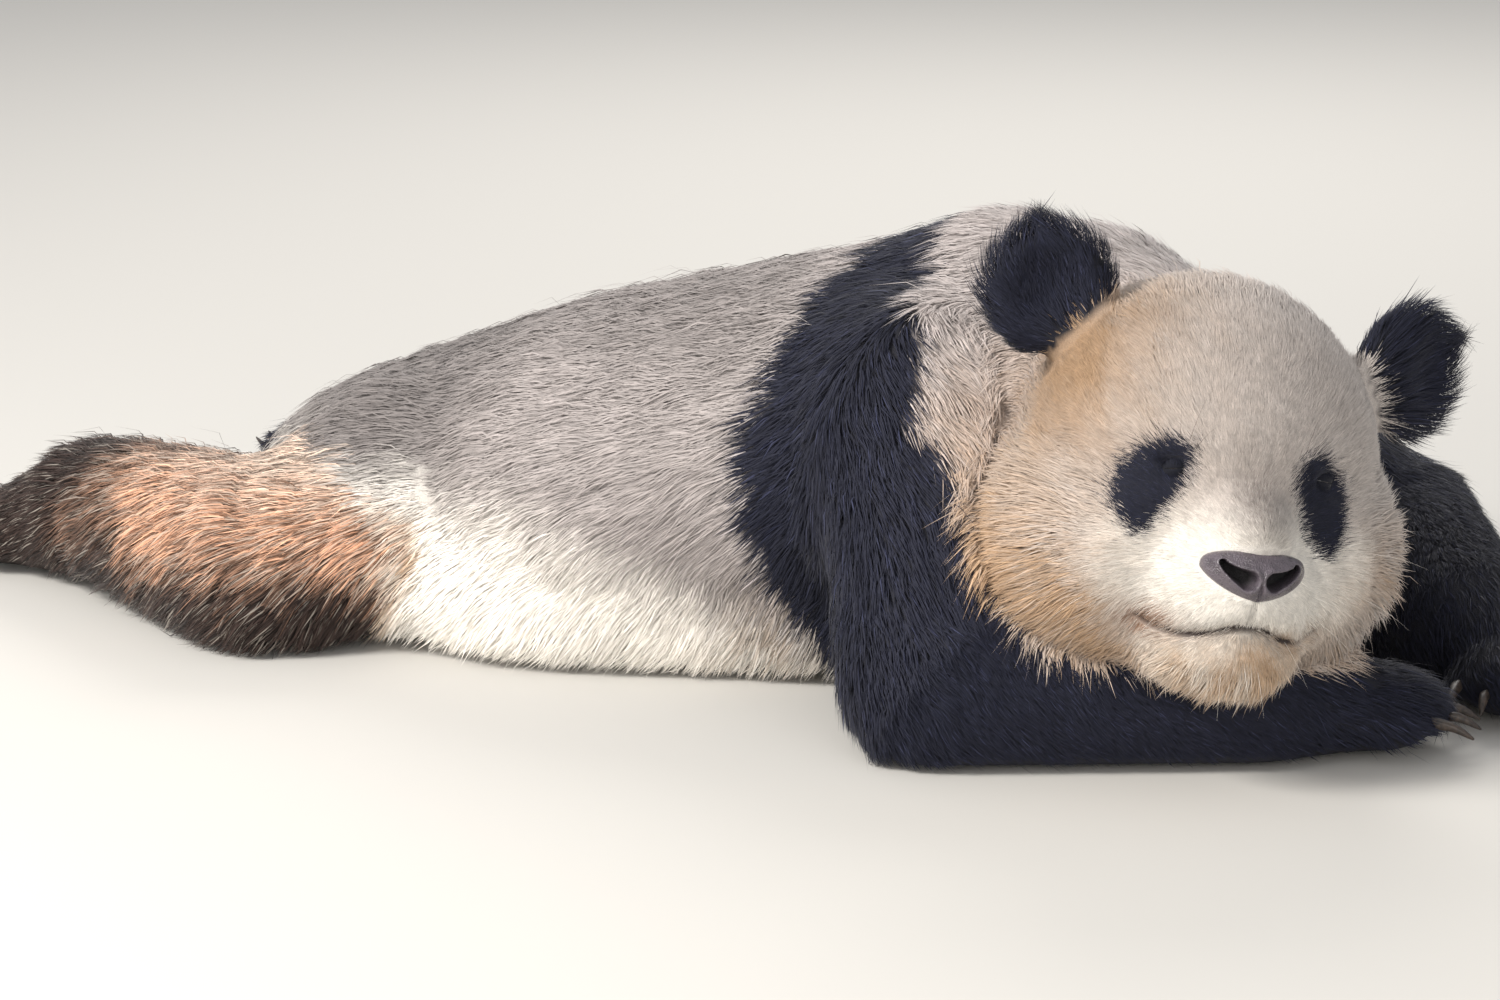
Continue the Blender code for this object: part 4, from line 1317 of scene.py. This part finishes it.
def nose_pad():
    """Rings from the middle of the pad out to its edge, then back into the muzzle and shut."""
    out = np.concatenate([np.linspace(0.02, 1, NOSE_STEPS), [1.03, 1.02, 0.95, 0.80, 0.5, 0.2]])
    behind = np.concatenate([np.zeros(NOSE_STEPS), [0.003, 0.007, 0.012, 0.016, 0.0185, 0.0185]])[:, None]
    turn = np.arange(NOSE_ROUND) * 2 * np.pi / NOSE_ROUND
    share, angle = np.meshgrid(out, turn, indexing="ij")
    across, above = np.cos(angle), np.sin(angle)
    power = np.where(above > 0, NOSE_FLAT_TOP, NOSE_POINTED_FOOT)
    tall = np.where(above > 0, NOSE_ABOVE, NOSE_BELOW)
    radius = (np.abs(across / NOSE_WIDE) ** power + np.abs(above / tall) ** power) ** (-1 / power)
    y, z = share * radius * across, share * radius * above
    x = NOSE_FRONT - 0.0125 * (y / NOSE_WIDE) ** 2 - 0.006 * (y / NOSE_WIDE) ** 6
    x -= 0.0060 * np.minimum(share, 1) ** 5 + behind
    x -= 0.004 * rise(z, 0.002, NOSE_ABOVE)
    away, along = from_path(np.column_stack([np.abs(y).ravel(), z.ravel()]), rounded_path(NOSTRIL))
    wide = NOSTRIL_WIDE - NOSTRIL_NARROWING * along
    inside = (1 - rise(away / wide, 0.55, 1.25)).reshape(x.shape)
    rim = hill(away - wide * 1.45, 0.0022).reshape(x.shape)
    front = (behind == 0) * (1 - rise(share, 0.93, 1.0))
    x += front * (NOSTRIL_RIM * rim - NOSTRIL_DEPTH * inside)
    x -= front * 0.0020 * hill(y, 0.0013) * rise(-z, 0.002, 0.010)
    x += front * 0.0008 * hill(np.abs(y) - 0.006, 0.004) * rise(-z, -0.004, 0.006)
    rings = np.stack([x, y, z + NOSE_HEIGHT], axis=-1)
    places = np.concatenate([rings.reshape(-1, 3), rings[[0, -1]].mean(axis=1)])
    depth = np.concatenate([(inside * front).ravel(), [0, 0]])[:, None]
    return places, capped_faces(len(out), NOSE_ROUND), depth


leather = Finish("nose leather")
pebbles = leather.node("ShaderNodeTexVoronoi", {}, {"Vector": leather.place(), "Scale": 780.0}, "Distance")
damp = leather.noise(120.0, 3.0)
hollow = leather.attribute("hollow", "Fac")
damp_share = 0.4 * damp.between(0.4, 0.65)
leather_material = leather.set(
    Base_Color=leather.tinted(leather.attribute("marking"), (0.02, 0.016, 0.02, 1), damp_share),
    Roughness=0.40 - 0.24 * damp.between(0.45, 0.62) * (1 - hollow) + 0.4 * hollow,
    Coat_Weight=0.48 - 0.48 * hollow,
    Coat_Roughness=0.15,
    Normal=leather.bump(pebbles, 0.8, 0.0010),
)
local, faces, depth = nose_pad()
nose = smooth_piece("nose_leather", from_head(local), faces, leather_material)
# the nostrils darkened inside: painted shade
shown_in(nose.data, "marking", NOSE_COLOUR * (1 - NOSTRIL_PAINTED_SHADE * depth))
shown_in(nose.data, "hollow", depth)
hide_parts("nose")


# Whiskers: a few long fine hairs, dark over the brows and pale round the lips, the chin and the
# cheeks, each a bent tapering hair rooted in the hide.

#        (across, up), way out of the head (ahead, across, up), length, dark
WHISKERS = (
    ((-0.0580, 0.0500), (0.35, 0.06, 1.00), 0.066, True),
    ((-0.0640, 0.0530), (0.45, -0.25, 0.90), 0.048, True),
    ((-0.0520, 0.0470), (0.55, 0.20, 0.80), 0.040, True),
    ((0.0400, 0.0500), (0.35, 0.02, 1.00), 0.060, True),
    ((0.0460, 0.0520), (0.45, 0.30, 0.90), 0.044, True),
    ((0.0340, 0.0460), (0.60, -0.15, 0.75), 0.036, True),
    ((-0.0620, -0.0640), (0.45, -0.85, -0.20), 0.040, False),
    ((-0.0560, -0.0780), (0.40, -0.80, -0.40), 0.044, False),
    ((0.0600, -0.0620), (0.40, 0.90, -0.15), 0.044, False),
    ((0.0560, -0.0760), (0.35, 0.85, -0.40), 0.048, False),
    ((0.0400, -0.0980), (0.45, 0.50, -0.70), 0.036, False),
    ((-0.0350, -0.1000), (0.45, -0.40, -0.75), 0.036, False),
    ((0.0150, -0.1220), (0.55, 0.10, -0.80), 0.034, False),
    ((-0.0150, -0.1240), (0.55, -0.15, -0.80), 0.036, False),
    ((0.0020, -0.1180), (0.70, 0.00, -0.70), 0.030, False),
    ((0.1180, -0.0300), (0.10, 1.00, 0.05), 0.050, False),
    ((0.1150, -0.0650), (0.10, 1.00, -0.30), 0.046, False),
    ((-0.1250, -0.0500), (0.10, -1.00, -0.20), 0.046, False),
    ((-0.1150, -0.0850), (0.10, -0.90, -0.50), 0.044, False),
)
WHISKER_STEPS, WHISKER_SIDES, WHISKER_RADIUS = 10, 5, 0.00016
WHISKER_EACH, WHISKER_DROOP, WHISKER_ROOT, FRONT_OF_HEAD = WHISKER_STEPS * WHISKER_SIDES, 0.22, 0.001, 0.02


def bent_hair(root, way, length):
    """A hair along root + way * s - drop * s squared, its radius falling off towards its point."""
    share = np.linspace(0, 1, WHISKER_STEPS)[:, None]
    line = root + length * (way * share + np.array([0, 0, -WHISKER_DROOP]) * np.square(share))
    side = unit(np.cross(way, (0.1, 0.2, 1.0)))
    turn = (np.arange(WHISKER_SIDES) * 2 * np.pi / WHISKER_SIDES)[:, None]
    ring = np.cos(turn) * side + np.sin(turn) * np.cross(side, way)
    radius = WHISKER_RADIUS * (1 - 0.9 * share)
    return (line[:, None] + radius[:, None] * ring[None]).reshape(-1, 3)


hairs, hair_faces, hair_colours = [], [], []
for number, (spot, way, length, dark) in enumerate(WHISKERS):
    root = (np.square(at[:, 1:] - spot).sum(axis=1) + (at[:, 0] < FRONT_OF_HEAD)).argmin()
    way = unit(np.array(way) @ head_axes)
    hairs.append(bent_hair(places[root] - WHISKER_ROOT * normals[root], way, length))
    start, last = number * WHISKER_EACH, (number + 1) * WHISKER_EACH - WHISKER_SIDES
    hair_faces += grid_faces(WHISKER_STEPS, WHISKER_SIDES, start)
    hair_faces += [range(start, start + WHISKER_SIDES)[::-1], range(last, last + WHISKER_SIDES)]
    hair_colours.append(np.tile(DARK_BROWN if dark else BRIGHT_CREAM, (WHISKER_EACH, 1)))
whiskers = smooth_piece("whiskers", np.concatenate(hairs), hair_faces, coat_material)
shown_in(whiskers.data, "marking", np.concatenate(hair_colours))


# The claws: curved horn, mottled brown and dark in a fine grain, rooted in the toes and standing
# out past their hair. The hind ones are drawn back to a share of their solids' length.

CLAW_SWELLING, HIND_CLAW_SHARE, CLAW_LOWEST, CLAW_FINER = 0.0006, 0.62, 0.0010, 2

horn = Finish("horn")
grain = horn.noise(260.0, 4.0)
horn_material = horn.set(
    Base_Color=horn.tinted((0.070, 0.050, 0.038, 1), (0.018, 0.014, 0.012, 1), grain.between(0.35, 0.65)),
    Roughness=0.46,
    Normal=horn.bump(grain, 0.25, 0.0006),
)
for node in [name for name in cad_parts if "claw" in name]:
    shape = merged_copy(node, CLAW_SWELLING)
    claw_places = places_of(shape)
    if "foot" in node:
        from_toe = far(claw_places, middle(node.rsplit("_claw", 1)[0]))
        root = claw_places[from_toe.argsort()[:6]].mean(axis=0)
        claw_places = root + (claw_places - root) * HIND_CLAW_SHARE
    claw_places[:, 2] = np.maximum(claw_places[:, 2], CLAW_LOWEST)
    move_to(shape, claw_places)
    shape.shade_smooth()
    shape.materials.clear()
    shape.materials.append(horn_material)
    claw = put("horn_" + node, shape)
    finer = claw.modifiers.new("finer", "SUBSURF")
    finer.levels = finer.render_levels = CLAW_FINER
    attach(claw, "root")
    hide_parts(node)
